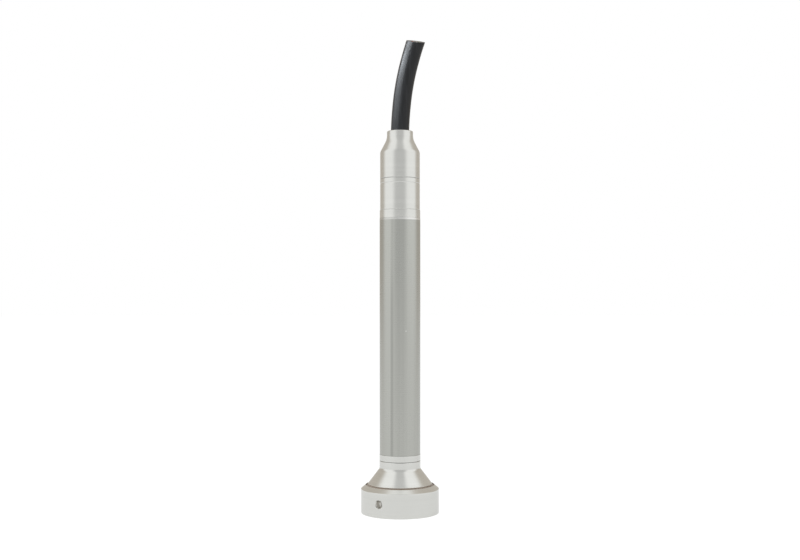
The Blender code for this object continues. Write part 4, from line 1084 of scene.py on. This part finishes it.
class PROBE_OT_add_bell(bpy.types.Operator):
    """Adds the bell, with the oil filling port behind the guard ring."""

    bl_idname = "probe.add_bell"
    bl_label = "Add Bell"

    def execute(self, context):
        bell = turned("bell")
        screw_low, screw_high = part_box("fill_screw")
        ball_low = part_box("fill_ball")[0]
        port_radius = (screw_high[2] - screw_low[2]) / 2 + SEAT_GAP
        port_height = (screw_high[2] + screw_low[2]) / 2
        port_end = ball_low[0] - SEAT_GAP
        port = drill(port_radius, port_end, RING_RADIUS, 0, port_height)
        drilling = drill(FILL_DRILLING / 2, 0, port_end + WELD, 0, port_height)
        cut_with(bell, [port])
        cut_with(bell, [drilling])
        finish_piece(bell, bell_steel(), ["bell"])
        return {"FINISHED"}


class PROBE_OT_add_housing(bpy.types.Operator):
    """Adds the collar, the tube, the adaptor, the gland body and the nose."""

    bl_idname = "probe.add_housing"
    bl_label = "Add Housing"

    def execute(self, context):
        own = sizes()
        sections = (
            ("lower_collar", bell_steel(), "turned_steel", own.edge),
            ("housing_tube", tube_steel(), "ground_tube", own.edge / 2),
            ("upper_adaptor", fitting_steel(), "turned_steel", own.edge),
            ("gland_body", fitting_steel(), "turned_steel", own.edge),
            ("nose_cap", fitting_steel(), "turned_steel", own.edge),
        )
        for node, material, slot, edge in sections:
            finish_piece(turned(node, edge), material, [node])
        return {"FINISHED"}


class PROBE_OT_add_diaphragm(bpy.types.Operator):
    """Adds the thin corrugated diaphragm with its welded rim."""

    bl_idname = "probe.add_diaphragm"
    bl_label = "Add Diaphragm"

    def execute(self, context):
        own = sizes()
        (_, _, low), (reach, _, high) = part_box("diaphragm")
        shape = bmesh.new()
        bmesh.ops.create_grid(shape, x_segments=FOIL_STEPS, y_segments=1, size=0.5)
        for vertex in shape.verts:
            radius = (0.5 - vertex.co.x) * reach
            wide = eased((radius - reach + own.foil_rim) / WELD_FILLET)
            half = own.foil / 2 + wide * (high - low - own.foil) / 2
            side = math.copysign(half, vertex.co.y)
            vertex.co = (-radius, 0, (low + high) / 2 + self.wave(radius, reach - own.foil_rim) + side)
        rungs = [edge for edge in shape.edges if abs(edge.verts[0].co.x - edge.verts[1].co.x) < WELD]
        rungs.sort(key=lambda edge: edge.verts[0].co.x)
        bmesh.ops.delete(shape, geom=shape.faces[:], context="FACES_ONLY")
        bmesh.ops.delete(shape, geom=rungs[1:], context="EDGES")
        spin_round(shape, own.segments)
        finish_piece(as_object(shape, "diaphragm_fine"), diaphragm_foil(), ["diaphragm"])
        return {"FINISHED"}

    def wave(self, radius, mouth):
        """Height of the foil over its flat middle."""
        own = sizes()
        inward = (mouth - own.foil_border - radius) / own.wave_pitch
        if not 0 < inward < own.waves:
            return 0.0
        return math.sin(inward * math.tau) * own.wave_height / 2


class PROBE_OT_add_inner_pieces(bpy.types.Operator):
    """Adds the seals, the gland's packing and the finely edged pieces inside the probe."""

    bl_idname = "probe.add_inner_pieces"
    bl_label = "Add Inner Pieces"

    def execute(self, context):
        for node, look in PACKING_LOOKS.items():
            finish_piece(turned(node), look(), [node])
        for node in SEALS:
            finish_piece(seal_ring(node), seal_rubber(), [node])
        for node, (look, width) in EDGED_PIECES.items():
            finish_piece(refined(node, width), look(), [node])
        return {"FINISHED"}


class PROBE_OT_add_finishes(bpy.types.Operator):
    """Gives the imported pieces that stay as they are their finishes."""

    bl_idname = "probe.add_finishes"
    bl_label = "Add Finishes"

    def execute(self, context):
        for node, look in PACKED_LOOKS.items():
            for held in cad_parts[node].material_slots:
                held.material = look()
        return {"FINISHED"}


STEPS = (
    PROBE_OT_add_studio,
    PROBE_OT_add_cable,
    PROBE_OT_add_guard_ring,
    PROBE_OT_add_bell,
    PROBE_OT_add_housing,
    PROBE_OT_add_diaphragm,
    PROBE_OT_add_inner_pieces,
    PROBE_OT_add_finishes,
)


class PROBE_PT_pieces(bpy.types.Panel):
    """Lists the steps that dress the probe."""

    bl_idname = "PROBE_PT_pieces"
    bl_label = "Level Transmitter"
    bl_space_type = "VIEW_3D"
    bl_region_type = "UI"
    bl_category = "Transmitter"

    def draw(self, context):
        for step in STEPS:
            self.layout.operator(step.bl_idname)
        for group in (context.scene.probe_sizes, context.scene.probe_finishes, context.scene.probe_studio):
            box = self.layout.box()
            for name in group.__annotations__:
                box.prop(group, name)


GROUPS = {"probe_sizes": ProbeSizes, "probe_finishes": ProbeFinishes, "probe_studio": ProbeStudio}


def register():
    for name, group in GROUPS.items():
        bpy.utils.register_class(group)
        setattr(bpy.types.Scene, name, PointerProperty(type=group))
    for step in STEPS:
        bpy.utils.register_class(step)
    bpy.utils.register_class(PROBE_PT_pieces)


def unregister():
    bpy.utils.unregister_class(PROBE_PT_pieces)
    for step in reversed(STEPS):
        bpy.utils.unregister_class(step)
    for name, group in reversed(GROUPS.items()):
        delattr(bpy.types.Scene, name)
        bpy.utils.unregister_class(group)


def main():
    register()
    for step in STEPS:
        group, name = step.bl_idname.split(".")
        getattr(getattr(bpy.ops, group), name)()


if __name__ == "__main__":
    main()
